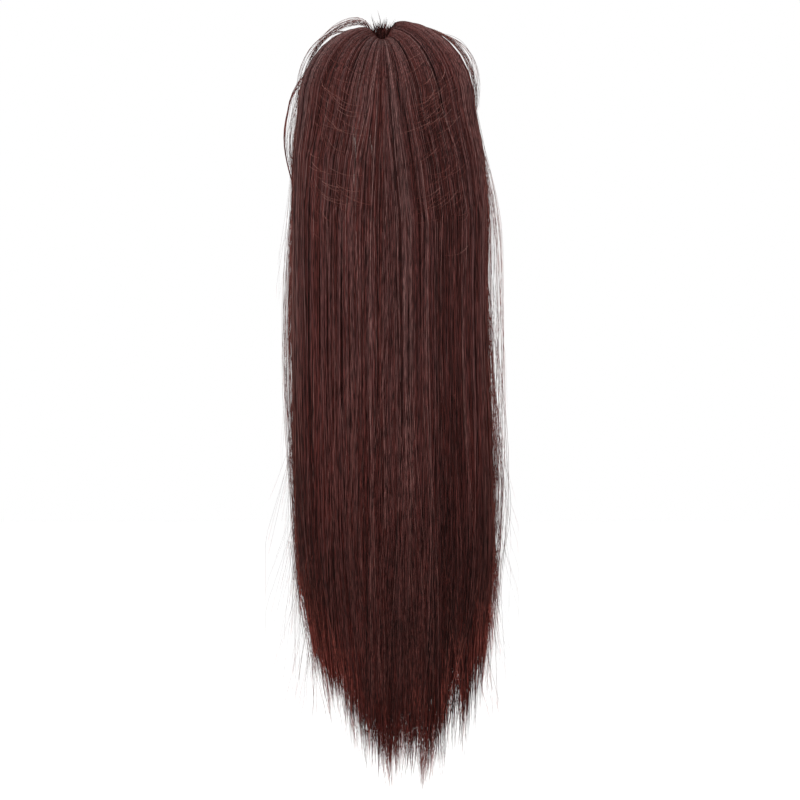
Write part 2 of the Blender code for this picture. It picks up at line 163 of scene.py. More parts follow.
@dataclass(frozen=True)
class HairForm:
    """The two surfaces that the hair lies between.

    Angles run round the hair from the front, negative to the left. Lift runs over the crown, from 0 at the
    root to a right angle at the shoulder, where the straight fall begins.
    """

    cap_half_width: float = 48.8 * MM
    cap_half_height: float = 46.8 * MM
    cap_depth: float = 42.8 * MM
    root_x: float = -2.5 * MM
    root_y: float = -10 * MM
    root_height: float = 62 * MM
    root_dip: float = 0.125
    shoulder: float = 14 * MM
    left_top: float = 75 * MM
    right_top: float = 79.5 * MM
    parting_top: float = 65 * MM
    parting_spread: float = math.radians(30)
    dome_power: float = 2.5
    section_power: float = 2.3
    shaft_blend: float = 60 * MM
    left_gather: float = 0.34
    right_gather: float = 0.12
    gather_from: float = 290 * MM
    gather_to: float = 480 * MM
    lowest: float = -478 * MM

    def level(self, height: Array, name: str) -> Array:
        """Read one column of the sections, in metres, at any height."""
        rows = SECTIONS[::-1]
        knots = np.array([row.height for row in rows]) * MM
        return smooth(height, knots, np.array([getattr(row, name) for row in rows]) * MM)

    def rounded(self, angle: Array) -> tuple[Array, Array]:
        """The sideways and forward shares of a boxy ellipse: sine and cosine to a power under one."""
        power = 2 / self.section_power
        return boxy(np.sin(angle), power), np.abs(np.cos(angle)) ** power

    def reach(self, place: Array, height: Array) -> Array:
        """How far out the outer surface lies on a place's own side, the left where the place is negative."""
        return np.where(place < 0, self.level(height, "left"), self.level(height, "right"))

    def lobe_top(self, angle: Array) -> Array:
        """The height of the lobe on an angle's own side."""
        return np.where(angle < 0, self.left_top, self.right_top)

    def depth_at(self, ahead: Array, height: Array) -> Array:
        """How far back a point lies: its forward share of the way from the axis to the front."""
        axis = self.level(height, "axis")
        return axis - ahead * (self.level(height, "front") + axis)

    def outer_fall(self, angle: Array, height: Array) -> Array:
        """The outer surface below the shoulder: a boxy half ellipse with the reaches of its height."""
        side, ahead = self.rounded(angle)
        across = side * self.reach(angle, height)
        return np.stack([across, self.depth_at(ahead, height), height + 0 * side], -1)

    def front_at(self, x: Array, height: Array) -> Array:
        """How far back the outer surface lies at a place across: the boxy half ellipse's depth there."""
        share = np.clip(np.abs(x) / self.reach(x, height), 0, 1)
        return self.depth_at((1 - share**self.section_power) ** (1 / self.section_power), height)

    def inner_fall(self, angle: Array, height: Array) -> Array:
        """The inner surface: the cap's round middle, then the outer section less its wall below the cap."""
        side, ahead = self.rounded(angle)
        away = fade(-height, 0, self.shaft_blend)
        wall = self.level(height, "wall")
        reach = self.reach(angle, height) - wall
        front = self.level(height, "front") - wall
        axis = self.level(height, "axis") * away
        reach = self.cap_half_width * (1 - away) + reach * away
        front = self.cap_depth * (1 - away) + front * away
        side = np.sin(angle) * (1 - away) + side * away
        ahead = np.cos(angle) * (1 - away) + ahead * away
        return np.stack([side * reach, axis - ahead * (front + axis), height + 0 * side], -1)

    def drawn_in(self, x: Array, height: Array) -> Array:
        """The share of its place across that a fibre keeps: less towards the tips, least on the left."""
        most = np.where(x < 0, self.left_gather, self.right_gather)
        return 1 - most * fade(-height, self.gather_from, self.gather_to)

    def gathered(self, points: Array) -> Array:
        """Points moved towards the middle by the draw of the lower length."""
        x, height = points[..., 0], points[..., 2]
        return np.concatenate([(x * self.drawn_in(x, height))[..., None], points[..., 1:]], -1)

    def outer_crown(self, angle: Array, lift: Array) -> Array:
        """The outer surface of the crown.

        The shoulder's outline shrinks towards the root by the sine of the lift to a power, while the height
        follows its cosine up to the lobe's top, lower near the parting and with a dip round the root.
        """
        out = np.sin(lift) ** (2 / self.dome_power)
        base = self.outer_fall(angle, np.full(np.shape(angle), self.shoulder))
        top = self.lobe_top(angle)
        top = top - (top - self.parting_top) * np.exp(-((angle / self.parting_spread) ** 2))
        dip = (top - self.root_height) * np.exp(-((out / self.root_dip) ** 2))
        height = self.shoulder + (top - self.shoulder) * np.cos(lift) - dip
        across = self.root_x + (base[..., 0] - self.root_x) * out
        return np.stack([across, self.root_y + (base[..., 1] - self.root_y) * out, height], -1)

    def inner_crown(self, angle: Array, lift: Array) -> Array:
        """The inner surface of the crown: the cap's own ellipsoid, with its pole at the top."""
        out = np.sin(lift)
        return np.stack(
            [
                self.cap_half_width * out * np.sin(angle),
                -self.cap_depth * out * np.cos(angle),
                self.cap_half_height * np.cos(lift) + 0 * angle,
            ],
            -1,
        )


FORM = HairForm()


@dataclass(frozen=True)
class End:
    """Where the hair ends: a height for a place across the front, in millimetres."""

    x: float
    height: float


@dataclass(frozen=True)
class EndLine:
    """The line along which the hair ends, seen from the front."""

    ends: tuple[End, ...]
    first_guess: float = -430 * MM
    steps: int = 3

    def at(self, x: Array) -> Array:
        """The end height for places across the front, straight between the table's rows."""
        across = np.array([end.x for end in self.ends]) * MM
        return np.interp(x, across, np.array([end.height for end in self.ends]) * MM)

    def met_by(self, surface: Callable[[Array, Array], Array], angle: Array) -> Array:
        """Where hair on a surface ends: the line's height at the hair's place, which depends on that height.

        Args:
            surface: Gives points for angles and heights.
            angle: The angles from the front.

        Returns:
            The end heights, after a few steps from a first guess.
        """
        height = np.full(np.shape(angle), self.first_guess)
        for _ in range(self.steps):
            height = self.at(FORM.gathered(surface(angle, height))[..., 0])
        return height


END_LINE = EndLine(
    (
        End(-66, -304),
        End(-58, -345),
        End(-52, -370),
        End(-43, -380),
        End(-37, -399),
        End(-29, -404),
        End(-22, -414),
        End(-17, -432),
        End(-6, -440),
        End(0, -452),
        End(11, -456),
        End(19, -440),
        End(26, -446),
        End(32, -454),
        End(39, -438),
        End(45, -418),
        End(48.5, -392),
        End(51, -368),
        End(53.5, -392),
        End(57.5, -434),
        End(61.5, -396),
        End(65, -382),
        End(70, -386),
        End(75, -362),
        End(81, -336),
    )
)


class Recipe:
    """A material under construction: adds nodes, links them and paints the shader."""

    def __init__(self, name: str) -> None:
        """Start a material with only its shader."""
        self.material = bpy.data.materials.new(name)
        self.material.use_nodes = True
        self.tree = self.material.node_tree
        self.shader = self.tree.nodes["Principled BSDF"]

    def add(self, kind: str, **settings: object) -> bpy.types.Node:
        """Add a node and set its properties."""
        node = self.tree.nodes.new(f"ShaderNode{kind}")
        for name, value in settings.items():
            setattr(node, name, value)
        return node

    def link(self, out: Socket, into: Socket) -> None:
        """Link one socket to another."""
        self.tree.links.new(out, into)

    def ramp(self, value: Socket, stops: Stops) -> Socket:
        """A colour ramp through the stops, read at a value."""
        node = self.add("ValToRGB")
        elements = node.color_ramp.elements
        while len(elements) < len(stops):
            elements.new(0.5)
        for element, (position, colour) in zip(elements, stops):
            element.position = position
            element.color = (*colour, 1)
        self.link(value, node.inputs["Fac"])
        return node.outputs["Color"]

    def noise(self, vector: Socket, scale: Colour, detail: float = 2.0) -> Socket:
        """A noise whose grain may differ along each axis."""
        mapping = self.add("Mapping")
        mapping.inputs["Scale"].default_value = scale
        self.link(vector, mapping.inputs["Vector"])
        node = self.add("TexNoise")
        node.inputs["Scale"].default_value = 1.0
        node.inputs["Detail"].default_value = detail
        self.link(mapping.outputs["Vector"], node.inputs["Vector"])
        return node.outputs["Fac"]

    def paint(self, colour: Socket, rough: Socket, gloss: float | None = None) -> bpy.types.Material:
        """Link the colour and the roughness, set the gloss if it is given, and hand the material over."""
        self.link(colour, self.shader.inputs["Base Color"])
        self.link(rough, self.shader.inputs["Roughness"])
        if gloss is not None:
            self.shader.inputs["Specular IOR Level"].default_value = gloss
        return self.material

    def spread(self, value: Socket, low: float, high: float) -> Socket:
        """A value's middle range, stretched from low to high."""
        node = self.add("MapRange")
        for name, number in (("From Min", 0.3), ("From Max", 0.7), ("To Min", low), ("To Max", high)):
            node.inputs[name].default_value = number
        self.link(value, node.inputs["Value"])
        return node.outputs["Result"]

    def tinted(self, colour: Socket, tint: Socket) -> Socket:
        """A colour multiplied by another."""
        node = self.add("Mix", data_type="RGBA", blend_type="MULTIPLY")
        node.inputs["Factor"].default_value = 1.0
        self.link(colour, node.inputs["A"])
        self.link(tint, node.inputs["B"])
        return node.outputs["Result"]

    def shaded(self, colour: Socket, value: Socket) -> Socket:
        """A colour made lighter or darker by a value."""
        node = self.add("HueSaturation")
        self.link(value, node.inputs["Value"])
        self.link(colour, node.inputs["Color"])
        return node.outputs["Color"]

    def bump(self, height: Socket, strength: float, distance: float) -> None:
        """A bump on the shader's normal."""
        node = self.add("Bump")
        node.inputs["Strength"].default_value = strength
        node.inputs["Distance"].default_value = distance
        self.link(height, node.inputs["Height"])
        self.link(node.outputs["Normal"], self.shader.inputs["Normal"])


@dataclass(frozen=True)
class FibreFinish:
    """Dyed synthetic hair: tones mixed fibre by fibre, with a tint from root to tip that is partly the dye's
    own, partly painted shade along the length and a painted glow at the tips.
    """

    name: str
    tones: Stops
    tint_shade_and_glow: Stops
    fine_scale: Colour = (1500.0, 1500.0, 60.0)
    fine: Range = (0.36, 1.75)
    patch_scale: Colour = (55.0, 55.0, 9.0)
    patches: Range = (0.86, 1.16)
    rough: Range = (0.36, 0.55)
    gloss: float = 0.07

    def material(self) -> bpy.types.Material:
        """Tone by the map's first place, tint with painted shade and painted glow by its second, and two
        sizes of Object mottling.
        """
        recipe = Recipe(self.name)
        uv = recipe.add("UVMap", uv_map=FIBRE_MAP)
        split = recipe.add("SeparateXYZ")
        recipe.link(uv.outputs["UV"], split.inputs["Vector"])
        tone = recipe.ramp(split.outputs["X"], self.tones)
        # The tint along the length: the dye's own change, painted shade and a painted glow of light through
        # the tips.
        tint = recipe.ramp(split.outputs["Y"], self.tint_shade_and_glow)
        place = recipe.add("TexCoord").outputs["Object"]
        patches = recipe.noise(place, self.patch_scale)
        fine = recipe.noise(place, self.fine_scale, 1.0)
        colour = recipe.shaded(recipe.tinted(tone, tint), recipe.spread(patches, *self.patches))
        colour = recipe.shaded(colour, recipe.spread(fine, *self.fine))
        return recipe.paint(colour, recipe.spread(patches, *self.rough), self.gloss)


@dataclass(frozen=True)
class CoreFinish:
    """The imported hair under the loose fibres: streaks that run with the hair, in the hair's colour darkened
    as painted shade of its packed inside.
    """

    name: str
    dark: Colour
    light: Colour
    streaks: Colour = (420.0, 5.0, 1.0)
    rough: Range = (0.45, 0.62)
    gloss: float = 0.14
    bump: float = 0.8
    depth: float = 0.5 * MM

    def material(self) -> bpy.types.Material:
        """Streaks on the piece's own map, which runs across and down the hair."""
        recipe = Recipe(self.name)
        uv = recipe.add("UVMap", uv_map=FIBRE_MAP).outputs["UV"]
        streaks = recipe.noise(uv, self.streaks, 4.0)
        colour = recipe.ramp(streaks, ((0.32, self.dark), (0.72, self.light)))
        recipe.bump(streaks, self.bump, self.depth)
        return recipe.paint(colour, recipe.spread(streaks, *self.rough), self.gloss)


@dataclass(frozen=True)
class NetFinish:
    """Fine stretch net over dark cloth."""

    name: str = "stretch_net"
    thread: Colour = (0.021, 0.012, 0.011)
    between: Colour = (0.006, 0.004, 0.004)
    holes: float = 620.0
    scatter: float = 0.35
    uneven: float = 160.0
    shades: Range = (0.75, 1.3)
    rough: Range = (0.7, 0.9)
    bump: float = 0.6
    depth: float = 0.3 * MM

    def material(self) -> bpy.types.Material:
        """Round holes from the distance to scattered cell centres, in slightly uneven threads."""
        recipe = Recipe(self.name)
        place = recipe.add("TexCoord").outputs["Object"]
        cells = recipe.add("TexVoronoi", feature="F1")
        cells.inputs["Scale"].default_value = self.holes
        cells.inputs["Randomness"].default_value = self.scatter
        recipe.link(place, cells.inputs["Vector"])
        holes = recipe.ramp(cells.outputs["Distance"], ((0.28, (0.0, 0.0, 0.0)), (0.46, (1.0, 1.0, 1.0))))
        colour = recipe.ramp(holes, ((0.0, self.between), (1.0, self.thread)))
        uneven = recipe.noise(place, (self.uneven,) * 3)
        recipe.bump(holes, self.bump, self.depth)
        colour = recipe.shaded(colour, recipe.spread(uneven, *self.shades))
        return recipe.paint(colour, recipe.spread(uneven, *self.rough))


@dataclass(frozen=True)
class PlainFinish:
    """A moulded or woven surface of one hue with grain, mottling and uneven gloss."""

    name: str
    colour: Colour
    grain: float
    rough: Range
    bump: float
    depth: float
    mottle: float = 0.25

    def material(self) -> bpy.types.Material:
        """Mottling and bump from one noise on Object coordinates."""
        recipe = Recipe(self.name)
        place = recipe.add("TexCoord").outputs["Object"]
        grain = recipe.noise(place, (self.grain,) * 3, 3.0)
        dark = tuple((1 - self.mottle) * part for part in self.colour)
        light = tuple((1 + self.mottle) * part for part in self.colour)
        recipe.bump(grain, self.bump, self.depth)
        colour = recipe.ramp(grain, ((0.35, dark), (0.65, light)))
        return recipe.paint(colour, recipe.spread(grain, *self.rough))


TONES = (
    (0.0, (0.005, 0.0009, 0.0007)),
    (0.15, (0.014, 0.0028, 0.0022)),
    (0.38, (0.040, 0.0092, 0.0076)),
    (0.58, (0.063, 0.0155, 0.0130)),
    (0.76, (0.060, 0.0225, 0.0215)),
    (0.90, (0.084, 0.0330, 0.0300)),
    (1.0, (0.130, 0.0640, 0.0580)),
)
# From root to tip: the dye's own shift from mauve grey to red, painted shade darkening the lower length where
# the light from above falls off, and a painted glow of light through the tips.
TINT_SHADE_AND_GLOW = (
    (0.0, (0.88, 0.98, 1.0)),
    (0.16, (0.90, 0.95, 0.97)),
    (0.45, (0.88, 0.90, 0.91)),
    (0.70, (0.74, 0.63, 0.61)),
    (0.84, (0.48, 0.38, 0.36)),
    (0.95, (0.60, 0.45, 0.42)),
    (1.0, (3.2, 1.6, 1.35)),
)
# Painted shade of the inner hair all along, darker still low down, and a painted glow of light through the
# tips.
INNER_TINT_SHADE_AND_GLOW = (
    (0.0, (0.8, 0.8, 0.8)),
    (0.60, (0.8, 0.78, 0.78)),
    (0.84, (0.56, 0.54, 0.55)),
    (0.95, (0.85, 0.68, 0.64)),
    (1.0, (4.5, 2.5, 2.1)),
)
OUTER_FIBRE = FibreFinish("outer_fibre", TONES, TINT_SHADE_AND_GLOW)
INNER_FIBRE = FibreFinish("inner_fibre", TONES, INNER_TINT_SHADE_AND_GLOW)
FRINGE_FIBRE = FibreFinish(
    "fringe_fibre",
    ((0.0, (0.016, 0.0036, 0.0028)), (0.5, (0.052, 0.0145, 0.0115)), (1.0, (0.135, 0.0480, 0.0390))),
    # Painted shade where the ends lie under the mass, and a painted glow of light through the tips.
    (
        (0.0, (0.34, 0.38, 0.42)),
        (0.6, (0.36, 0.40, 0.43)),
        (0.88, (0.78, 0.72, 0.70)),
        (1.0, (2.9, 2.0, 1.9)),
    ),
)
LOOSE_FIBRE = FibreFinish(
    "loose_fibre",
    ((0.0, (0.05, 0.013, 0.010)), (0.6, (0.12, 0.040, 0.033)), (1.0, (0.22, 0.105, 0.09))),
    TINT_SHADE_AND_GLOW,
)
EDGE_FIBRE = FibreFinish(
    "edge_fibre",
    ((0.0, (0.05, 0.010, 0.008)), (0.5, (0.13, 0.040, 0.034)), (1.0, (0.26, 0.13, 0.115))),
    TINT_SHADE_AND_GLOW,
)
# Painted light: pale tones for strands that stand in for light seen through gaps in the front.
PAINTED_GLINT_FIBRE = FibreFinish(
    "painted_glint_fibre",
    ((0.0, (0.07, 0.040, 0.036)), (0.6, (0.14, 0.098, 0.090)), (1.0, (0.36, 0.30, 0.28))),
    TINT_SHADE_AND_GLOW,
)
# Painted shade: the packed hair is far darker than the fibres' own tones, for the shade inside the hair and
# in the crown's gaps.
SHADED_HAIR_CORE = CoreFinish("packed_hair", (0.004, 0.0010, 0.0008), (0.020, 0.0048, 0.0040))
NET = NetFinish()
HEM_CLOTH = PlainFinish("hem_cloth", (0.016, 0.010, 0.010), 900.0, (0.75, 0.92), 0.5, 0.2 * MM)
THREAD = PlainFinish("sewing_thread", (0.03, 0.018, 0.016), 1500.0, (0.5, 0.7), 0.3, 0.1 * MM)
COMB_PLASTIC = PlainFinish("comb_plastic", (0.012, 0.009, 0.009), 240.0, (0.22, 0.38), 0.08, 0.1 * MM)
FLOOR_PAPER = PlainFinish("floor_paper", (1.0, 1.0, 1.0), 3.0, (0.9, 0.95), 0.0, 1 * MM, 0.006)


def map_corners(*corners: tuple[Array, Array]) -> Array:
    """The map places of many faces at once, from the across and the down of each corner in turn."""
    return np.stack([np.stack(np.broadcast_arrays(*corner), -1) for corner in corners], -2)


def put_mesh(
    name: str,
    points: Array,
    quads: Array,
    quad_map: Array,
    triangles: Array = NO_TRIANGLES,
    triangle_map: Array = NO_TRIANGLE_MAP,
) -> bpy.types.Object:
    """Make an object from whole arrays of points, faces and map places.

    Args:
        name: The object's name.
        points: Places, one row each.
        quads: Four point numbers a row.
        quad_map: Map places of the quads' corners, in the same order.
        triangles: Three point numbers a row.
        triangle_map: Map places of the triangles' corners.

    Returns:
        The object, at the origin, linked to the scene.
    """
    mesh = bpy.data.meshes.new(name)
    corners = np.concatenate([quads.reshape(-1), triangles.reshape(-1)]).astype(np.int32)
    starts = np.concatenate([np.arange(len(quads)) * 4, len(quads) * 4 + np.arange(len(triangles)) * 3])
    mesh.vertices.add(len(points))
    mesh.vertices.foreach_set("co", points.astype(np.float32).reshape(-1))
    mesh.loops.add(len(corners))
    mesh.loops.foreach_set("vertex_index", corners)
    mesh.polygons.add(len(starts))
    mesh.polygons.foreach_set("loop_start", starts.astype(np.int32))
    mesh.update(calc_edges=True)
    layer = mesh.uv_layers.new(name=FIBRE_MAP)
    places = np.concatenate([quad_map.reshape(-1, 2), triangle_map.reshape(-1, 2)]).astype(np.float32)
    layer.data.foreach_set("uv", places.reshape(-1))
    mesh.shade_smooth()
    piece = bpy.data.objects.new(name, mesh)
    bpy.context.scene.collection.objects.link(piece)
    return piece


def fit(piece: bpy.types.Object, finish: object, slot: Slot, *nodes: str) -> bpy.types.Object:
    """Dress a piece, hang it on the part's body and hide the solids that it stands for."""
    piece.data.materials.append(finish.material())
    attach(piece, BODY)
    if nodes:
        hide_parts(*nodes)
    log.info("%s: %d faces", piece.name, len(piece.data.polygons))
    return piece


CROWN_RUN = 100 * MM  # roughly how far the hair has run from the root when it comes down to height 0
FIBRE_PARTS = ("paths", "radii", "across", "tone", "begin")
MAP_EDGE = 0.001  # the map keeps this far from its own lower and upper edge
STRIP_START = 0.02  # where a fibre's strip starts in its share of the map
FACE_SHARE = 0.32  # how much of that share each of the three sides takes
BUTT_SHARE = 0.004  # how far up the map the face at a fibre's root end reaches


@dataclass
class Fibres:
    """Many fibres at once.

    Attributes:
        paths: Centre lines, as fibre by point by place.
        radii: The radius at each point.
        across: A direction that the fibres never run along, one for all or one for each.
        tone: For each fibre, its tone. Only the order of the tones matters.
        begin: How far from the root the fibres start, one length for all or one for each.
    """

    paths: Array
    radii: Array
    across: Array
    tone: Array
    begin: Array | float = 0.0

    def __post_init__(self) -> None:
        """Give every fibre its own row of what was given once for all."""
        count = len(self.paths)
        self.across = np.broadcast_to(self.across, (count, 3))
        self.begin = np.broadcast_to(self.begin, (count,))

    def chosen(self, keep: Array) -> "Fibres":
        """Some of the fibres."""
        return Fibres(*(getattr(self, name)[keep] for name in FIBRE_PARTS))

    def joined(self, *others: "Fibres") -> "Fibres":
        """These fibres and others with as many points each."""
        parts = ([getattr(fibres, name) for fibres in (self, *others)] for name in FIBRE_PARTS)
        return Fibres(*map(np.concatenate, parts))

    def piece(self, name: str) -> bpy.types.Object:
        """Carry a triangle along every centre line and draw it to a point at the tip.

        At each point the triangle stands square to the line's direction, a radius away from it. The map
        gives each fibre a narrow strip at its rank by tone, and runs up the strip with the length.

        Args:
            name: The piece's name.

        Returns:
            The piece, a closed tube for each fibre.
        """
        order = np.argsort(self.tone, kind="stable")
        paths, radii, across = self.paths[order], self.radii[order], self.across[order]
        count, points = paths.shape[:2]
        ahead = unit(np.gradient(paths, axis=1))
        first = unit(across[:, None] - (across[:, None] * ahead).sum(-1, keepdims=True) * ahead)
        second = np.cross(ahead, first)
        turn = round_ring(3)
        ring = first[:, :, None] * np.cos(turn)[:, None] + second[:, :, None] * np.sin(turn)[:, None]
        rings = (paths[:, :, None] + radii[:, :, None, None] * ring)[:, :-1]
        each = (points - 1) * 3 + 1
        vertices = np.concatenate([rings.reshape(count, -1, 3), paths[:, -1:]], axis=1).reshape(-1, 3)
        base = (np.arange(count) * each)[:, None, None]
        row = (np.arange(points - 2) * 3)[:, None]
        j = np.arange(3)
        after = (j + 1) % 3
        quads = np.stack([row + j, row + after, row + 3 + after, row + 3 + j], -1)[None] + base[..., None]
        last = (points - 2) * 3
        tip = np.stack([last + j, last + after, 0 * j + each - 1], -1)
        butt = np.array([[2, 1, 0]])
        triangles = np.concatenate([tip, butt])[None] + base
        run = np.linalg.norm(np.diff(paths, axis=1), axis=-1)
        begin = self.begin[order][:, None]
        along = np.concatenate([begin, begin + np.cumsum(run, axis=1)], axis=1)
        along = np.clip(along / along[:, -1:], MAP_EDGE, 1 - MAP_EDGE)
        strip = (np.arange(count) + STRIP_START)[:, None] / count
        step = FACE_SHARE / count
        left = (strip + step * j)[:, None]
        near, far = along[:, :-2, None], along[:, 1:-1, None]
        quad_map = map_corners((left, near), (left + step, near), (left + step, far), (left, far))
        left, low, high = left[:, 0], along[:, -2:-1], along[:, -1:]
        tip_map = map_corners((left, low), (left + step, low), (left + step / 2, high))
        low = along[:, :1]
        butt_map = map_corners((strip, low), (strip + step, low), (strip + step / 2, low + BUTT_SHARE))
        ends_map = np.concatenate([tip_map, butt_map], axis=1)
        return put_mesh(name, vertices, quads.reshape(-1, 4), quad_map, triangles.reshape(-1, 3), ends_map)


@dataclass
class Hair:
    """What every kind of hair shares: its random draws, and the step from centre lines to fibres."""

    rng: np.random.Generator

    def each(self, low: float, high: float, count: int) -> Array:
        """An even draw for each fibre, as a column."""
        return self.rng.uniform(low, high, count)[:, None]

    def off(self, size: float, count: int) -> Array:
        """A normal draw about nothing for each fibre, as a column."""
        return self.rng.normal(0, size, count)[:, None]

    def grown(
        self,
        paths: Array,
        radius: float,
        spread: Range,
        taper: Array,
        across: Array,
        begin: Array | float = 0.0,
        tones: Range = (0, 1),
    ) -> Fibres:
        """Turn centre lines into fibres of uneven thickness and tone.

        Args:
            paths: The centre lines.
            radius: The middling radius.
            spread: The least and the most share of it that a fibre has.
            taper: The share of its radius that a fibre has at each point.
            across: A direction that no line runs along.
            begin: How far from the root the fibres start.
            tones: The least and the highest tone.

        Returns:
            The fibres.
        """
        count = len(paths)
        radii = radius * self.each(*spread, count) * taper
        return Fibres(paths, radii, across, self.rng.uniform(*tones, count), begin)


@dataclass
class OuterHair(Hair):
    """One half of the outer hair: a packed core, the fibres over it, and those on its rear face."""

    side: Side
    gaps: tuple["Gap", ...]
    fibres: int = 2420
    clumps: int = 130
    crown_points: int = 9
    fall_points: int = 11
    crown_share: float = 0.18
    half_round: float = 110 * MM
    fibre_radius: float = 0.29 * MM
    layer_depth: float = 2.4 * MM
    gap_reach: float = 0.05
    crown_lean: float = 0.75
    clump_pull: float = 0.6
    clump_sway: float = 1.5 * MM
    own_sway: float = 0.9 * MM
    tip_spread: float = 12 * MM
    ragged: float = 11 * MM
    core_depth: float = 3.4 * MM
    core_short: float = 62 * MM
    core_columns: int = 64
    core_rows: int = 33
    core_top: float = math.radians(3)
    core_ridge: float = 0.22 * MM
    core_dip: float = 2.2 * MM
    core_tip_wall: float = 1.2 * MM
    core_gap: float = 0.1 * MM
    back_fibres: int = 250
    gap_depth: float = 2.0 * MM
    clump_relief: float = 0.5 * MM
    crossing_share: float = 0.1
    free_share: float = 0.2
    free_pull: float = 0.1
    # Painted sheen beside the right parting: its rise in tone, its place and its width.
    sheen_rise: float = 0.34
    sheen_place: float = 0.12
    sheen_width: float = 0.07

    def angles(self, place: Array) -> Array:
        """Angles from the front, for places from 0 at the parting to 1 at the side."""
        return self.side.value * place * QUARTER

    def even(self, share: Array) -> Array:
        """Places that stand evenly along the outline, for shares from 0 to 1 of its length."""
        place = np.linspace(0, 1, 200)
        line = FORM.outer_fall(self.angles(place), np.full(200, -0.1))
        run = np.concatenate([[0], np.cumsum(np.linalg.norm(np.diff(line, axis=0), axis=1))])
        return np.interp(share, run / run[-1], place)

    def far(self) -> Array:
        """How far along its whole length each point of a fibre lies, from 0 to 1."""
        crown = np.linspace(0, self.crown_share, self.crown_points)
        fall = np.arange(1, self.fall_points + 1) / self.fall_points
        return np.concatenate([crown, self.crown_share + (1 - self.crown_share) * fall])

    def ends(self, place: Array) -> Array:
        """The height at which the hair ends, for places across the half."""
        return END_LINE.met_by(FORM.outer_fall, self.angles(place))

    def lay(self, place: Array, inward: Array, ends: Array, first_lift: Array) -> Array:
        """Centre lines between the outer and the inner surface.

        Args:
            place: Places across the half, fibre by point.
            inward: Shares of the way to the inner surface, fibre by point.
            ends: Each fibre's end height.
            first_lift: Each fibre's lift at its root.

        Returns:
            Points, fibre by point by place.
        """
        crown = np.linspace(0, 1, self.crown_points) ** 1.2
        lift = first_lift[:, None] + (QUARTER - first_lift[:, None]) * crown
        fall = np.arange(1, self.fall_points + 1) / self.fall_points
        height = FORM.shoulder + (ends[:, None] - FORM.shoulder) * fall
        angle = self.angles(place)
        top, low = angle[:, : self.crown_points], angle[:, self.crown_points :]
        outer = np.concatenate([FORM.outer_crown(top, lift), FORM.outer_fall(low, height)], axis=1)
        inner_height = np.minimum(height, 0)
        inner = np.concatenate([FORM.inner_crown(top, lift), FORM.inner_fall(low, inner_height)], axis=1)
        inner[:, self.crown_points :, 2] = outer[:, self.crown_points :, 2]
        return outer + (inner - outer) * inward[..., None]

    def outward(self, place: Array) -> Array:
        """Level directions that point straight out of the hair."""
        angle = self.angles(place)
        return np.stack([np.sin(angle), -np.cos(angle), 0 * angle], -1)

    def sway(self, count: int, slow: float, fast: float) -> Array:
        """Sideways waves that start at nothing, one a row: a sine of random pace, phase and size."""
        far = self.far()
        pace = self.each(slow, fast, count) * ROUND
        phase = self.each(0, ROUND, count)
        size = self.off(1, count)
        return size * (np.sin(pace * far + phase) - np.sin(phase)) * fade(far, 0.06, 0.3)

    def part(self, place: Array, far: Array) -> tuple[Array, Array]:
        """Open the crown's dark gaps: fibres move away from each gap's middle, less and less further off.

        Args:
            place: Each fibre's place across the half.
            far: How far along a fibre each point lies.

        Returns:
            How far each fibre moves, and how deep it sinks beside a gap, fibre by point.
        """
        moved = np.zeros((len(place), len(far)))
        sunk = np.zeros_like(moved)
        for gap in self.gaps:
            off = place - gap.place
            open_ = fade(far, -0.01, 0.05) * (1 - fade(far, 0.35 * gap.closes, gap.closes))
            push = np.sign(off) * np.exp(-np.abs(off) / self.gap_reach)
            moved += gap.half_width * push[:, None] * open_
            sunk += self.gap_depth * np.exp(-((off / (2 * gap.half_width)) ** 2))[:, None] * open_
        return moved, sunk

    def painted_sheen(self, place: Array) -> Array:
        """A rise in tone beside the parting on the right: a painted sheen, greyer strands where the top light
        catches the lobe.
        """
        off = (place - self.sheen_place) / self.sheen_width
        return self.sheen_rise * (self.side is Side.RIGHT) * np.exp(-(off**2))

    def outer_fibres(self) -> Fibres:
        """The fibres that show.

        Near the root they leave dark gaps between the crown's locks. Further down they are drawn into small
        clumps that sway and cross, and they end unevenly round the end line.
        """
        rng, count, far = self.rng, self.fibres, self.far()
        place = self.even(rng.uniform(-0.005, 1.0, count).clip(0))
        crossing = self.each(0, 1, count) < self.crossing_share
        parted, sunk = self.part(place, far)
        centre = self.even((np.arange(self.clumps) + rng.uniform(0.05, 0.95, self.clumps)) / self.clumps)
        near = np.searchsorted(centre, place + rng.normal(0, 0.008, count))
        clump = np.clip(near, 0, self.clumps - 1)
        held = np.where(self.each(0, 1, count) < self.free_share, self.free_pull, 1.0)
        pull = self.clump_pull * held * fade(far, 0.04, 0.32)
        sway = self.clump_sway * self.sway(self.clumps, 0.5, 1.8)[clump]
        sway = sway + self.own_sway * self.sway(count, 0.8, 2.8)
        spread = self.tip_spread * self.off(1, count) * np.clip((far - 0.55) / 0.45, 0, 1) ** 1.4
        leant = np.maximum(place, 0)[:, None] ** (1 + self.crown_lean * (1 - fade(far, 0.02, 0.34)))
        path = leant + np.where(crossing, -0.4 * parted, parted)
        path = path + (centre[clump] - place)[:, None] * pull + (sway + spread) / self.half_round
        path = np.clip(path, -0.06, 1.03)
        depth = np.abs(rng.normal(0, self.layer_depth, count))
        ends = self.ends(place) + rng.gamma(1.6, 12 * MM, count) - 11 * MM
        ends = np.maximum(ends + rng.normal(0, self.ragged, self.clumps)[clump], FORM.lowest)
        first_lift = np.radians(rng.uniform(1.5, 5.0, count))
        relief = self.off(self.clump_relief, self.clumps)[clump] * fade(far, 0.04, 0.3)
        sunk = sunk + depth[:, None] * (0.45 + 0.55 * fade(far, 0.0, 0.3)) * (1 - 0.5 * fade(far, 0.8, 1.0))
        paths = self.lay(path, 0 * path, ends, first_lift)
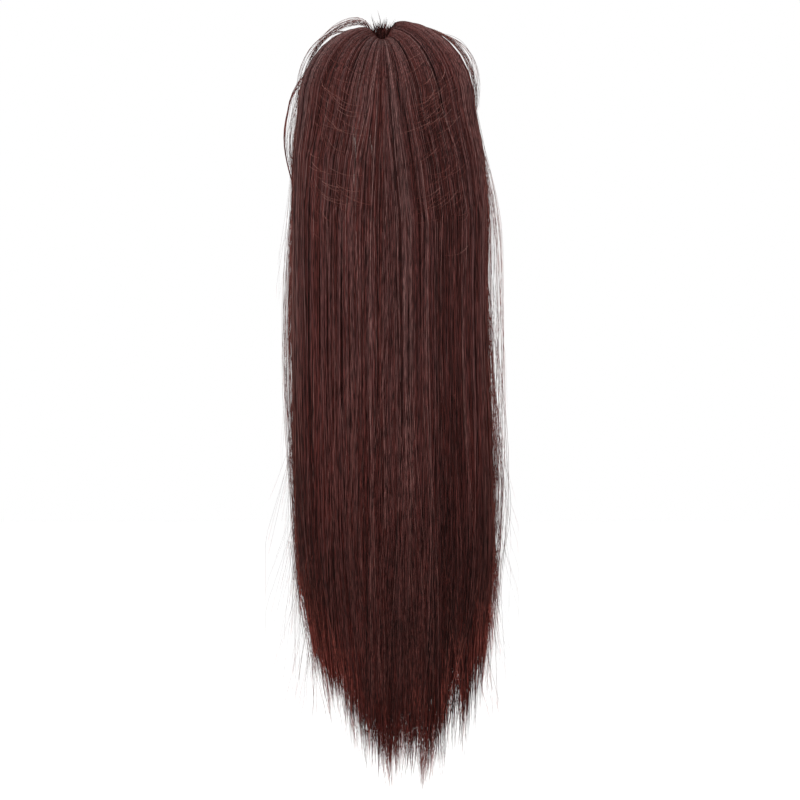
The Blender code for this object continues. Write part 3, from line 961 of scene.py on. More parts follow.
        paths = FORM.gathered(paths + (relief - sunk)[..., None] * self.outward(path))
        thick = self.fibre_radius * self.each(0.65, 1.3, count)
        radii = thick * (0.8 + 0.2 * fade(far, 0, 0.1)) * (1 - 0.55 * fade(far, 0.8, 1.0))
        tone = rng.normal(0, 0.07, self.clumps)[clump] + rng.normal(0, 0.3, count)
        # Painted shade: fibres lying deeper under the others get darker tones. The sheen term adds a painted
        # sheen beside the right parting, and tones rise towards the side.
        tone = tone - 0.3 * depth / self.layer_depth + self.painted_sheen(place) + 0.3 * fade(place, 0.62, 0.95)
        angle = self.angles(place)
        across = np.stack([np.cos(angle), np.sin(angle), 0 * angle], -1)
        return Fibres(paths, radii, across, tone)

    def behind_fibres(self) -> Fibres:
        """Fibres over the half's rear face, from the root round the cap and down its side."""
        rng, count, far = self.rng, self.back_fibres, self.far()
        inward = self.each(0, 1, count)
        place = 1 + self.off(0.004, count) + 0.01 * np.sin(6 * far + inward * 9)
        place = np.clip(place, 0.96, 1.02)
        ends = self.ends(np.ones(count)) + rng.uniform(-10, 90, count) * MM
        paths = self.lay(place, inward * (1 - 0.35 * far), ends, np.radians(rng.uniform(1.5, 7, count)))
        paths = FORM.gathered(paths)
        paths[..., 1] += 0.5 * MM + self.each(0, 1, count) * MM
        return self.grown(paths, self.fibre_radius, (0.8, 1.3), 1 - 0.6 * fade(far, 0.8, 1.0), ALONG_Y)

    def core(self) -> bpy.types.Object:
        """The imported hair: a closed wall from two grids, its outer one ridged along the hair."""
        place = np.linspace(0, 1, self.core_columns)
        crown = self.core_top + (QUARTER - self.core_top) * np.linspace(0, 1, self.core_rows // 3)
        fall = np.arange(1, self.core_rows - len(crown) + 1) / (self.core_rows - len(crown))
        ends = self.ends(place) + self.core_short
        angle = self.angles(place)
        across = angle[None] + 0 * crown[:, None]
        low = angle[None] + 0 * fall[:, None]
        height = FORM.shoulder + (ends - FORM.shoulder) * fall[:, None]
        inner_height = ends * fall[:, None]
        lift = crown[:, None]
        outer = np.concatenate([FORM.outer_crown(across, lift), FORM.outer_fall(low, height)])
        inner = np.concatenate([FORM.inner_crown(across, lift), FORM.inner_fall(low, inner_height)])
        run = np.linspace(0, 1, len(outer))[:, None]
        phases = enumerate(self.rng.uniform(0, ROUND, 4))
        wave = (3 * (17 + 23 * k) * place + phase + 2 * np.sin(3 * run + k) for k, phase in phases)
        ridges = sum(map(np.sin, wave))
        depth = self.core_depth - self.core_ridge * ridges
        out = self.outward(place)[None]
        outer = outer - depth[..., None] * out * fade(run, -0.02, 0.12)[..., None]
        outer[: len(crown), :, 2] -= self.core_dip * (1 - fade(run[: len(crown)], 0, 0.3))
        full = fade(outer[..., 2] - ends, 0, 60 * MM)[..., None]
        inner = inner * full + (outer - self.core_tip_wall * out) * (1 - full)
        shift = self.side.value * self.core_gap * ALONG_X
        outer, inner = FORM.gathered(outer) + shift, FORM.gathered(inner) + shift
        return slab(outer, inner, f"packed_hair_{self.side.word}")

    def build(self) -> None:
        """Build and dress the half."""
        word = self.side.word
        node = f"crown_hair_{word}"
        fit(self.core(), SHADED_HAIR_CORE, Slot.HAIR, node)
        fibres = self.outer_fibres()
        aside = np.abs(fibres.paths[:, self.crown_points, 0])
        front = aside < np.median(aside)
        fit(fibres.chosen(front).piece(f"front_hair_{word}"), OUTER_FIBRE, Slot.HAIR, node)
        fit(fibres.chosen(~front).piece(f"side_hair_{word}"), OUTER_FIBRE, Slot.HAIR, node)
        fit(self.behind_fibres().piece(f"rear_hair_{word}"), OUTER_FIBRE, Slot.HAIR, node)


@dataclass
class Fringe(Hair):
    """The thin ends along the bottom, which cross at small angles and fan outwards at the sides."""

    fibres: int = 3000
    wisps: int = 170
    clumps: int = 74
    points: int = 6
    fibre_radius: float = 0.14 * MM
    left_reach: float = -69 * MM
    right_reach: float = 85 * MM

    def fibres_between(self, count: int, lean: float, past: float, outer: float) -> Fibres:
        """Short fibres that end round the end line.

        Args:
            count: How many.
            lean: How unevenly they lean, in degrees.
            past: How far past the line they may end, in millimetres.
            outer: How much further the outermost ones lean outwards, in degrees.

        Returns:
            The fibres.
        """
        rng = self.rng
        run = np.linspace(0, 1, self.points)
        end = rng.uniform(self.left_reach, self.right_reach, count)
        points_at = np.sort(rng.uniform(self.left_reach, self.right_reach, self.clumps))
        clump = np.clip(np.searchsorted(points_at, end), 0, self.clumps - 1)
        end = end + (points_at[clump] - end) * rng.uniform(0.2, 0.8, count)
        centre = (self.left_reach + self.right_reach) / 2
        beside = (end - centre) / (self.right_reach - centre)
        end_height = END_LINE.at(end) - rng.gamma(1.5, past * MM / 1.5, count) + 9 * MM
        end_height = np.maximum(end_height + rng.normal(0, 9 * MM, self.clumps)[clump], FORM.lowest)
        length = rng.uniform(60, 150, count) * MM
        clump_lean = rng.normal(0, 0.7 * lean, self.clumps)[clump]
        slope = np.tan(np.radians(rng.normal(0, lean, count) + clump_lean + outer * beside**3))
        height = end_height[:, None] + length[:, None] * (1 - run)
        own = end / FORM.drawn_in(end, end_height)
        own = np.clip(own, self.left_reach + 8 * MM, self.right_reach - 9 * MM)
        start = np.clip(end - slope * length, self.left_reach + 9 * MM, self.right_reach - 10 * MM)
        bend = run ** self.each(1.0, 1.6, count)
        x = own[:, None] * FORM.drawn_in(end[:, None], height)
        x = x + (start - end)[:, None] * (1 - bend) + (end - x[:, -1])[:, None] * bend
        x = np.clip(x, self.left_reach - 4 * MM, self.right_reach + 3 * MM)
        inside = np.abs(self.off(0.3, count)).clip(0, 1)
        y = FORM.front_at(x, height) * (1 - inside) + FORM.level(height, "back") * inside
        paths = np.stack([x, y, height], -1)
        begin = CROWN_RUN - height[:, 0]
        return self.grown(paths, self.fibre_radius, (0.6, 1.3), 1 - 0.5 * run, ALONG_Y, begin)

    def build(self) -> None:
        """Build and dress the fringe."""
        dense = self.fibres_between(self.fibres, 3.4, 13, 5.0)
        wisps = self.fibres_between(self.wisps, 7.5, 17, 10.0)
        fit(dense.joined(wisps).piece("fringe_fibres"), FRINGE_FIBRE, Slot.HAIR)


@dataclass(frozen=True)
class Gap:
    """A dark gap between two of the crown's locks: its place, its half width and where it closes."""

    place: float
    half_width: float
    closes: float


LEFT_GAPS = (
    Gap(0.05, 0.016, 0.42),
    Gap(0.19, 0.009, 0.26),
    Gap(0.29, 0.006, 0.36),
    Gap(0.41, 0.024, 0.34),
    Gap(0.60, 0.010, 0.30),
    Gap(0.82, 0.008, 0.40),
)
RIGHT_GAPS = (
    Gap(0.065, 0.016, 0.36),
    Gap(0.17, 0.021, 0.26),
    Gap(0.33, 0.008, 0.34),
    Gap(0.52, 0.013, 0.30),
    Gap(0.71, 0.007, 0.40),
    Gap(0.88, 0.010, 0.34),
)


def slab(outer: Array, inner: Array, name: str) -> bpy.types.Object:
    """Close two facing grids of points into a wall, with a strip of faces round their four edges.

    Args:
        outer: The outer grid, row by column by place.
        inner: The inner grid, of the same shape.
        name: The piece's name.

    Returns:
        The object, with a map that runs across and down the grid.
    """
    rows, columns = outer.shape[:2]
    far = rows * columns
    grid = np.arange(far).reshape(rows, columns)
    a, b, c, d = grid[:-1, :-1], grid[:-1, 1:], grid[1:, 1:], grid[1:, :-1]
    sheet = np.stack([a, d, c, b], -1).reshape(-1, 4)
    rim = np.concatenate([grid[0], grid[1:, -1], grid[-1, -2::-1], grid[-2:0:-1, 0]])
    after = np.roll(rim, -1)
    strip = np.stack([rim, after, after + far, rim + far], -1)
    quads = np.concatenate([sheet, sheet[:, ::-1] + far, strip])
    points = np.concatenate([outer.reshape(-1, 3), inner.reshape(-1, 3)])
    down, across = np.meshgrid(np.linspace(0, 1, rows), np.linspace(0, 0.48, columns), indexing="ij")
    places = np.stack([across.reshape(-1), down.reshape(-1)], -1)
    places = np.concatenate([places, places + [0.5, 0]])
    piece = put_mesh(name, points, quads, places[quads])
    turn_out(piece)
    return piece


def turn_out(piece: bpy.types.Object) -> None:
    """Turn a closed mesh's faces outwards."""
    shaper = bmesh.new()
    shaper.from_mesh(piece.data)
    bmesh.ops.recalc_face_normals(shaper, faces=shaper.faces)
    shaper.to_mesh(piece.data)
    shaper.free()


@dataclass
class InnerLength(Hair):
    """The hair inside the outer layers and behind them: packed at the middle, with fibres on its back."""

    fibres: int = 1500
    points: int = 14
    fibre_radius: float = 0.25 * MM
    top: float = -9 * MM
    rim_gap: float = -1.5 * MM
    rim_squeeze: float = 0.78
    core_columns: int = 56
    core_rows: int = 28
    root_run: float = 140 * MM
    core_top: float = -50.5 * MM
    core_short: float = 60 * MM
    core_inset: float = 4.5 * MM
    core_tip_half: float = 0.6 * MM
    nape_fibres: int = 520

    def ends(self, place: Array) -> Array:
        """The height at which the hair ends, for places across the back."""
        return END_LINE.met_by(FORM.inner_fall, (place * 2 - 1) * QUARTER)

    def faces(self, place: Array, height: Array) -> tuple[Array, Array]:
        """The front and the back of the inner length, for places from 0 at the left to 1 at the right."""
        angle = (place * 2 - 1) * QUARTER
        front = FORM.inner_fall(angle, height)
        back = front.copy()
        bulge = np.abs(np.cos(angle)) ** 0.8
        axis = FORM.inner_fall(np.full_like(angle, QUARTER), height)[..., 1]
        back[..., 1] = axis + (FORM.level(height, "back") - axis) * bulge
        return front, back

    def core(self) -> bpy.types.Object:
        """A closed wall from the front to the back, thinning to its tips."""
        place = np.linspace(0, 1, self.core_columns)[None] + np.zeros((self.core_rows, 1))
        ends = self.ends(place[0]) + self.core_short
        run = np.linspace(0, 1, self.core_rows)[:, None]
        height = self.core_top + (ends - self.core_top) * run
        front, back = self.faces(place, height)
        full = fade(height - ends, 0, 70 * MM)[..., None]
        middle = (front + back) / 2
        thin = self.core_tip_half * ALONG_Y
        half = (back - front) / 2 * full + thin * (1 - full)
        near = np.minimum(half, half + (thin - self.core_inset * ALONG_Y) * full)
        squeeze = np.array([0.95, 1.0, 1.0])
        front, back = (middle - half) * squeeze, (middle + np.maximum(near, -half)) * squeeze
        return slab(FORM.gathered(front), FORM.gathered(back), "packed_inner_hair")

    def nape_core(self) -> bpy.types.Object:
        """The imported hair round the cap's lower half: a crescent between the cap and the outer layers."""
        columns, rows = 60, 16
        turn = np.linspace(0, math.pi, columns)
        deep = np.linspace(0, 1, rows)[:, None]
        narrowed = np.sqrt(1 - (0.8 * deep) ** 2)
        cap_x = FORM.cap_half_width * np.cos(turn) * narrowed
        cap_z = -FORM.cap_half_height * np.sin(turn) * narrowed
        y = -1.5 * MM - 0.8 * FORM.cap_depth * deep + 0 * turn
        inner = np.stack([cap_x, y, cap_z], -1)
        low = -50 * MM * np.sin(turn) ** 0.5
        wide = (FORM.cap_half_width + 1.0 * MM) * np.cos(turn) * (1 - 0.25 * deep**2)
        outer = np.stack([wide, y, np.minimum(low + 0 * deep, cap_z - 0.5 * MM)], -1)
        return slab(outer, inner, "packed_nape_hair")

    def back_fibres(self) -> Fibres:
        """Fibres down the back of the length, from the cap's lower rim to the tips."""
        rng, count = self.rng, self.fibres
        run = np.linspace(0, 1, self.points)
        place = rng.beta(0.9, 0.9, count)
        phase = self.each(0, ROUND, count)
        shift = 0.012 * (np.sin(ROUND * run + phase) - np.sin(phase)) + self.off(0.008, count) * run
        path_place = np.clip(place[:, None] + shift, 0, 1)
        ends = np.maximum(self.ends(place) + rng.gamma(1.6, 14 * MM, count) - 10 * MM, FORM.lowest)
        _, rim = self.faces(place, np.full(count, -50 * MM))
        beside = (np.abs(rim[:, 0]) * self.rim_squeeze / FORM.cap_half_width).clip(0, 0.98)
        top = np.minimum(-FORM.cap_half_height * np.sqrt(1 - beside**2) - self.rim_gap, self.top)
        height = top[:, None] + (ends - top)[:, None] * run
        front, back = self.faces(path_place, height)
        share = np.abs(self.off(0.12, count))
        share = np.where(self.each(0, 1, count) < 0.3, self.each(0, 1, count), share)
        paths = back + (front - back) * np.clip(share, 0, 1)[..., None]
        gathered = 1 - fade(-height, 38 * MM, 75 * MM)
        paths[..., 1] = paths[..., 1] * (1 - gathered) + (0.8 * MM) * gathered
        paths[..., 0] *= 1 - (1 - self.rim_squeeze) * gathered
        taper = 1 - 0.6 * fade(run, 0.75, 1.0)
        return self.grown(FORM.gathered(paths), self.fibre_radius, (0.7, 1.3), taper, ALONG_X, self.root_run)

    def rim_fibres(self) -> Fibres:
        """Fibres sewn under the cap's lower rim, which spread outwards and down over the nape."""
        rng, count = self.rng, self.nape_fibres
        run = np.linspace(0, 1, self.points)
        turn = rng.beta(0.75, 0.75, count)[:, None] * math.pi
        x0 = (FORM.cap_half_width - 0.6 * MM) * np.cos(turn)
        z0 = -(FORM.cap_half_height - 0.6 * MM) * np.sin(turn)
        place = 0.5 + x0 / (2 * 60 * MM) + self.off(0.01, count)
        end = self.each(-330, -140, count) * MM
        height = z0 + (end - z0) * run
        _, back = self.faces(np.clip(place + 0 * run, 0, 1), np.minimum(height, -50 * MM))
        away = fade(z0 - height, 0, 55 * MM)
        depth = self.each(-0.8, 1.0, count) * MM
        x = x0 + (back[..., 0] - x0) * away
        y = (-0.6 * MM + depth * 0.4) * (1 - away) + (back[..., 1] + depth) * away
        paths = np.stack([x, y, height], -1)
        return self.grown(paths, self.fibre_radius, (0.8, 1.2), 1 - 0.6 * fade(run, 0.8, 1.0), ALONG_X)

    def build(self) -> None:
        """Build and dress the inner length and the nape."""
        fit(self.core(), SHADED_HAIR_CORE, Slot.INNER_HAIR, "under_hair")
        fit(self.nape_core(), SHADED_HAIR_CORE, Slot.INNER_HAIR, "nape_hair")
        fit(self.back_fibres().piece("under_hair_fibres"), INNER_FIBRE, Slot.INNER_HAIR, "under_hair")
        fit(self.rim_fibres().piece("nape_hair_fibres"), INNER_FIBRE, Slot.INNER_HAIR, "nape_hair")


@dataclass
class LooseHair(Hair):
    """The fibres that stand off the mass: the root's tuft, the loop, the loose edges and the strays."""

    points: int = 14
    fine: float = 0.09 * MM
    crossing_radius: float = 0.12 * MM
    glint_radius: float = 0.10 * MM
    tuft_radius: float = 0.27 * MM
    tuft_fibres: int = 560

    def tuft(self) -> Fibres:
        """Short ends that stand up out of the root, leaning a little each way."""
        rng, count = self.rng, self.tuft_fibres
        run = np.linspace(0, 1, 6)
        lean = rng.normal(0, 0.13, (count, 2))
        length = 11.5 * MM + rng.gamma(1.6, 1.6 * MM, count)
        side = FORM.root_x + rng.uniform(-4.2, 4.2, count) * MM
        start_y = FORM.root_y - 3 * MM + rng.normal(0, 1.8, count) * MM
        start = np.stack([side, start_y, rng.uniform(54, 63, count) * MM], -1)
        rise = length[:, None] * run
        bend = rng.normal(0, 0.14, (count, 2))
        paths = np.stack(
            [
                start[:, None, 0] + rise * lean[:, :1] + length[:, None] * bend[:, :1] * run**2,
                start[:, None, 1] + rise * lean[:, 1:] * 0.6 + length[:, None] * bend[:, 1:] * run**2,
                start[:, None, 2] + rise,
            ],
            -1,
        )
        return self.grown(paths, self.tuft_radius, (0.7, 1.3), 1 - 0.5 * run**2, ALONG_X)

    def beside(self, angle: Array, heights: Array, off: Array) -> Array:
        """Centre lines that stand off the outer surface.

        Args:
            angle: The angle from the front, fibre by point.
            heights: The height, fibre by point.
            off: The distance out from the surface, fibre by point.

        Returns:
            Points, fibre by point by place.
        """
        top = FORM.lobe_top(angle)
        lift = np.arccos(np.clip((heights - FORM.shoulder) / (top - FORM.shoulder), 0, 1))
        crown = FORM.outer_crown(angle, lift)
        fall = FORM.outer_fall(angle, np.minimum(heights, FORM.shoulder))
        base = np.where((heights > FORM.shoulder)[..., None], crown, fall)
        slope = np.where(heights > FORM.shoulder, np.cos(lift), 0)
        out = np.stack([np.sin(angle) * (1 - slope), -np.cos(angle) * (1 - slope), slope], -1)
        return base + off[..., None] * unit(out)

    def edge(self, row: "EdgeRow") -> Fibres:
        """Fibres beside one edge that leave the mass at a height, swell away from it and come back."""
        rng, count = self.rng, row.count
        run = np.linspace(0, 1, self.points)
        high = row.high + rng.uniform(-0.5, 0.5, count) * row.high_spread
        low = row.low + rng.uniform(-0.5, 0.5, count) * row.low_spread
        heights = (high[:, None] + (low - high)[:, None] * run) * MM
        turn = np.radians(row.angle + self.off(4, count) + self.off(3, count) * run)
        turn = np.clip(turn, -1.05 * QUARTER, 1.05 * QUARTER)
        share = row.least + (1 - row.least) * self.each(0, 1, count) ** 1.6
        wave = self.off(row.wave, count) * np.sin(ROUND * (run + self.each(0, 1, count)))
        off = (row.swell * share + wave) * np.sin(math.pi * run**0.85)
        paths = self.beside(turn, heights, (off + 0.2) * MM)
        taper = 1 - 0.5 * fade(run, 0.7, 1.0)
        return self.grown(paths, row.radius * MM, (0.7, 1.3), taper, ALONG_Y, CROWN_RUN - heights[:, 0])

    def strays(self, count: int, side: Side) -> Fibres:
        """Long thin hairs that hang free beside the mass and drift away from it towards their ends."""
        run = np.linspace(0, 1, self.points)
        start = self.each(-260, 40, count) * MM
        stop = start - self.each(90, 260, count) * MM
        stop = np.maximum(stop, -430 * MM)
        heights = start + (stop - start) * run
        turn = side.value * np.radians(self.each(70, 92, count))
        off = self.each(1, 6, count) * run**0.7 + self.rng.gamma(1.3, 4.0, count)[:, None] * run**2.2
        wave = np.sin(run * self.each(2, 5, count) + self.each(0, 6, count)) * run
        paths = self.beside(turn + 0 * run, heights, np.minimum(off + wave, 12.5) * MM)
        return self.grown(paths, self.fine, (0.6, 1.2), 1 - 0.6 * run, ALONG_Y, CROWN_RUN - start[:, 0])

    def flyaway(self, count: int, side: Side) -> Fibres:
        """Thin ends that leave the lower length and lean outwards: lines bent a little by a power."""
        rng = self.rng
        run = np.linspace(0, 1, self.points)
        start = rng.uniform(-370, -170, count) * MM
        length = rng.uniform(50, 130, count) * MM
        reach = FORM.level(start, side.word)
        inset = rng.uniform(1, 9, count) * MM
        own = side.value * (reach - inset) * FORM.drawn_in(side.value * reach, start)
        lean = np.tan(np.radians(np.clip(rng.gamma(2.0, 4.0, count), 2, 17)))
        bend = run ** self.each(1.0, 1.5, count)
        x = own[:, None] + side.value * (lean * length)[:, None] * bend
        x = np.clip(x, -86 * MM, 96 * MM)
        height = np.maximum(start[:, None] - length[:, None] * run, FORM.lowest)
        y = FORM.level(height, "axis") + self.off(3, count) * MM
        paths = np.stack([x, y, height], -1)
        return self.grown(paths, 0.8 * self.fine, (0.6, 1.3), 1 - 0.5 * run, ALONG_Y, CROWN_RUN - start)

    def over_crown(self, count: int, side: Side, lifts: Range, rise: float, early: float) -> Fibres:
        """Hairs that arch clear of a lobe before they meet its shoulder.

        Args:
            count: How many.
            side: The lobe.
            lifts: The lifts at which they leave it and meet it again, in degrees.
            rise: The furthest that they stand off, in millimetres.
            early: A power under one that brings the highest point nearer the root.

        Returns:
            The fibres.
        """
        run = np.linspace(0, 1, self.points)
        start = lifts[0] + self.each(0, 2.5, count)
        stop = lifts[1] + self.off(9, count)
        lift = np.radians(start + (stop - start) * run).clip(0, QUARTER)
        turn = side.value * np.radians(np.clip(88 + self.off(6, count), 62, 95)) + 0 * run
        base = FORM.outer_crown(turn, lift)
        out = np.stack([np.sin(turn) * np.sin(lift), -np.cos(turn) * np.sin(lift), np.cos(lift)], -1)
        share = self.each(0.25, 1.0, count)
        off = rise * MM * share * np.sin(math.pi * run ** (early + self.off(0.04, count)))
        return self.grown(base + off[..., None] * out, self.fine, (0.8, 1.6), 1 - 0.4 * run, ALONG_Y)

    def crossing(self, count: int) -> Fibres:
        """Fine hairs that curve across the front of the crown, against the run of the rest."""
        rng = self.rng
        run = np.linspace(0, 1, self.points)
        side = np.where(rng.uniform(0, 1, count) < 0.5, -1.0, 1.0)
        start = side * np.radians(rng.uniform(24, 52, count))
        stop = start - side * np.radians(rng.uniform(6, 26, count))
        turn = start[:, None] + (stop - start)[:, None] * run
        high = rng.choice([18, -50], count, p=[0.6, 0.4])[:, None] * MM
        high = high + self.off(17, count) * MM
        fall = self.each(3, 15, count) * MM
        sag = self.each(0.5, 4, count) * MM
        heights = high - fall * run - sag * np.sin(math.pi * run)
        off = (0.8 + 1.4 * np.sin(math.pi * run)) * MM + 0 * heights
        paths = self.beside(turn, heights, off)
        return self.grown(paths, self.crossing_radius, (0.8, 1.2), 1 - 0.4 * run, ALONG_Z, tones=(0.1, 0.9))

    def glints(self) -> Fibres:
        """Painted light: pale strands laid along the surface where the table says, standing in for light that
        shows through gaps in the front.
        """
        run = np.linspace(0, 1, self.points)
        rows = [glint for glint in GLINTS for _ in range(glint.count)]
        count = len(rows)
        table = np.array([(glint.x, glint.width, glint.high, glint.low) for glint in rows]) * MM
        middle, width, top, bottom = table.T[..., None]
        x = middle + self.each(-0.5, 0.5, count) * width * (1 - 0.6 * np.abs(2 * run - 1))
        long = (top - bottom) * self.each(0.15, 0.45, count)
        high = top - (top - bottom - long) * self.each(0, 1, count)
        height = high - long * run
        paths = np.stack([x, FORM.front_at(x, height) - 0.3 * MM, height], -1)
        return self.grown(paths, self.glint_radius, (0.7, 1.3), 1 - 0.5 * run, ALONG_X)

    def build(self) -> None:
        """Build and dress the loose hair."""
        fit(self.tuft().piece("root_tuft_fibres"), OUTER_FIBRE, Slot.HAIR, "root_tuft")
        for name, (nodes, rows) in EDGES.items():
            first, *others = map(self.edge, rows)
            fit(first.joined(*others).piece(name), EDGE_FIBRE, Slot.HAIR, *nodes)
        over = self.over_crown(34, Side.LEFT, (1, 62), 8.5, 0.52).joined(
            self.over_crown(28, Side.RIGHT, (24, 88), 4.2, 1.0),
            self.over_crown(10, Side.LEFT, (20, 84), 6.0, 0.8),
        )
        strays = self.strays(54, Side.LEFT).joined(self.strays(56, Side.RIGHT))
        away = self.flyaway(80, Side.LEFT).joined(self.flyaway(70, Side.RIGHT))
        right = Side.RIGHT
        loose = over.joined(strays, self.crossing(150), away, self.over_crown(20, right, (30, 80), 8.0, 1.05))
        fit(loose.piece("stray_fibres"), LOOSE_FIBRE, Slot.HAIR)
        fit(self.glints().piece("painted_glint_strands"), PAINTED_GLINT_FIBRE, Slot.HAIR)


@dataclass(frozen=True)
class EdgeRow:
    """Loose fibres beside one edge: how many, where they leave and rejoin it, and how far off they stand."""

    count: int
    angle: float
    high: float
    high_spread: float
    low: float
    low_spread: float
    swell: float
    least: float
    wave: float
    radius: float


@dataclass(frozen=True)
class Glint:
    """A narrow gap in the front where pale strands stand in for light showing through, in millimetres."""

    count: int
    x: float
    width: float
    high: float
    low: float


GLINTS = (
    Glint(12, -21.5, 3.0, -2, -46),
    Glint(5, -9.5, 2.0, -6, -26),
    Glint(3, -26.5, 0.7, -34, -62),
    Glint(2, -40.0, 0.8, -34, -44),
)
EDGES = {
    "loop_fibres_left": (
        ("loop_lock_left",),
        (
            EdgeRow(14, -86, 36, 6, -40, 5, 8.4, 0.92, 0.15, 0.15),
            EdgeRow(22, -84, 30, 30, -40, 16, 7.0, 0.1, 0.3, 0.10),
        ),
    ),
    "edge_fibres_left": ((), (EdgeRow(60, -85, -50, 60, -310, 110, 8.0, 0.05, 0.3, 0.09),)),
    "edge_fibres_right": (
        ("side_lock_right",),
        (
            EdgeRow(40, 86, -20, 40, -270, 150, 13.0, 0.05, 0.3, 0.09),
            EdgeRow(60, 86, -150, 150, -350, 80, 13.5, 0.05, 0.3, 0.09),
        ),
    ),
}


@dataclass
class NetCap:
    """The cap: a net wall with a gathered hem round its mouth and a row of stitches."""

    half_width: float = 48 * MM
    half_height: float = 46 * MM
    depth: float = 42 * MM
    wall: float = 1.6 * MM
    hem_width: float = 5 * MM
    hem_thickness: float = 3 * MM
    columns: int = 168
    rows: int = 24
    gathers: int = 56
    stitches: int = 84
    pucker: float = 0.18 * MM

    def shell(self, turn: Array, bulge: Array, grow: Array) -> Array:
        """The cap's ellipsoid: turn runs round the mouth, and bulge from 0 there to a quarter turn."""
        return np.stack(
            [
                (self.half_width + grow) * np.cos(bulge) * np.cos(turn),
                -(self.depth + grow) * np.sin(bulge) + 0 * turn,
                (self.half_height + grow) * np.cos(bulge) * np.sin(turn),
            ],
            -1,
        )

    def rings(self, name: str, rings: Array, closed: bool) -> bpy.types.Object:
        """Join rings of points into a closed surface, back to the first ring or with a pole at each end."""
        count, columns = rings.shape[:2]
        grid = np.arange(count * columns).reshape(count, columns)
        grid = np.concatenate([grid, grid[:1]]) if closed else grid
        after = np.roll(grid, -1, axis=1)
        quads = np.stack([grid[:-1], after[:-1], after[1:], grid[1:]], -1).reshape(-1, 4)
        step = 1 / columns
        left = np.arange(columns) / columns
        right = left + step
        down = np.linspace(0, 1, len(grid))[:, None]
        places = map_corners((left, down[:-1]), (right, down[:-1]), (right, down[1:]), (left, down[1:]))
        points = rings.reshape(-1, 3)
        triangles, triangle_map = NO_TRIANGLES, NO_TRIANGLE_MAP
        if not closed:
            last = len(points)
            points = np.concatenate([points, rings[0].mean(0)[None], rings[-1].mean(0)[None]])
            first_fan = np.stack([np.full(columns, last), after[0], grid[0]], -1)
            last_fan = np.stack([np.full(columns, last + 1), grid[-1], after[-1]], -1)
            triangles = np.concatenate([first_fan, last_fan])
            fan = map_corners((left, 0), (right, 0), (left, step))
            triangle_map = np.concatenate([fan, fan])
        piece = put_mesh(name, points, quads, places, triangles, triangle_map)
        turn_out(piece)
        return piece

    def net(self) -> bpy.types.Object:
        """The wall: out over the bottom, round the mouth and back inside."""
        turn = round_ring(self.columns)[None]
        bulge = np.linspace(math.radians(5), math.radians(89), self.rows)[:, None]
        pucker = self.pucker * np.sin(self.gathers * turn)
        pucker = pucker * fade(math.radians(34) - bulge, 0, math.radians(30))
        outside = self.shell(turn, bulge[::-1], pucker[::-1] - 0.15 * MM)
        inside = self.shell(turn, bulge, pucker - self.wall)
        return self.rings("net_wall", np.concatenate([outside, inside]), False)

    def hem(self) -> bpy.types.Object:
        """The folded hem: a rounded band round the mouth, gathered into small ripples by its elastic."""
        turn = round_ring(self.columns * 2)[None]
        around = round_ring(18)[:, None]
        half = self.hem_thickness / 2
        ripple = 0.35 * MM * np.sin(self.gathers * turn)
        ripple = ripple + 0.12 * MM * np.sin(self.gathers * 2.7 * turn // 1 + 1)
        out = boxy(np.cos(around), 0.7) * (half + 0.2 * MM) + ripple * 0.6
        deep = boxy(np.sin(around), 0.7) * (self.hem_width / 2 + 0.1 * MM)
        ring = self.shell(turn + 0 * around, 0 * turn + 0 * around, out - half)
        ring[..., 1] = deep - self.hem_width / 2 + 0.4 * ripple
        return self.rings("gathered_hem", ring, True)

    def stitching(self) -> bpy.types.Object:
        """Short stitches in a row round the inside of the hem: each a bent spindle of a few faces."""
        turn = round_ring(self.stitches)[:, None]
        run = np.linspace(-1, 1, 7)[None]
        at = turn + 0.36 * ROUND / self.stitches * run
        paths = self.shell(at, 0 * at, -self.hem_thickness - (0.25 + 0.22 * (1 - run**2)) * MM)
        paths[..., 1] = -self.hem_width * 0.78
        radii = 0.28 * MM * np.sqrt(np.clip(1.08 - run**2, 0, 1)) + 0 * turn
        return Fibres(paths, radii, ALONG_Y, np.linspace(0, 1, self.stitches)).piece("hem_stitches")

    def build(self) -> None:
        """Build and dress the cap."""
        fit(self.net(), NET, Slot.NET, "base_cap")
        fit(self.hem(), HEM_CLOTH, Slot.NET, "base_cap")
        fit(self.stitching(), THREAD, Slot.NET)


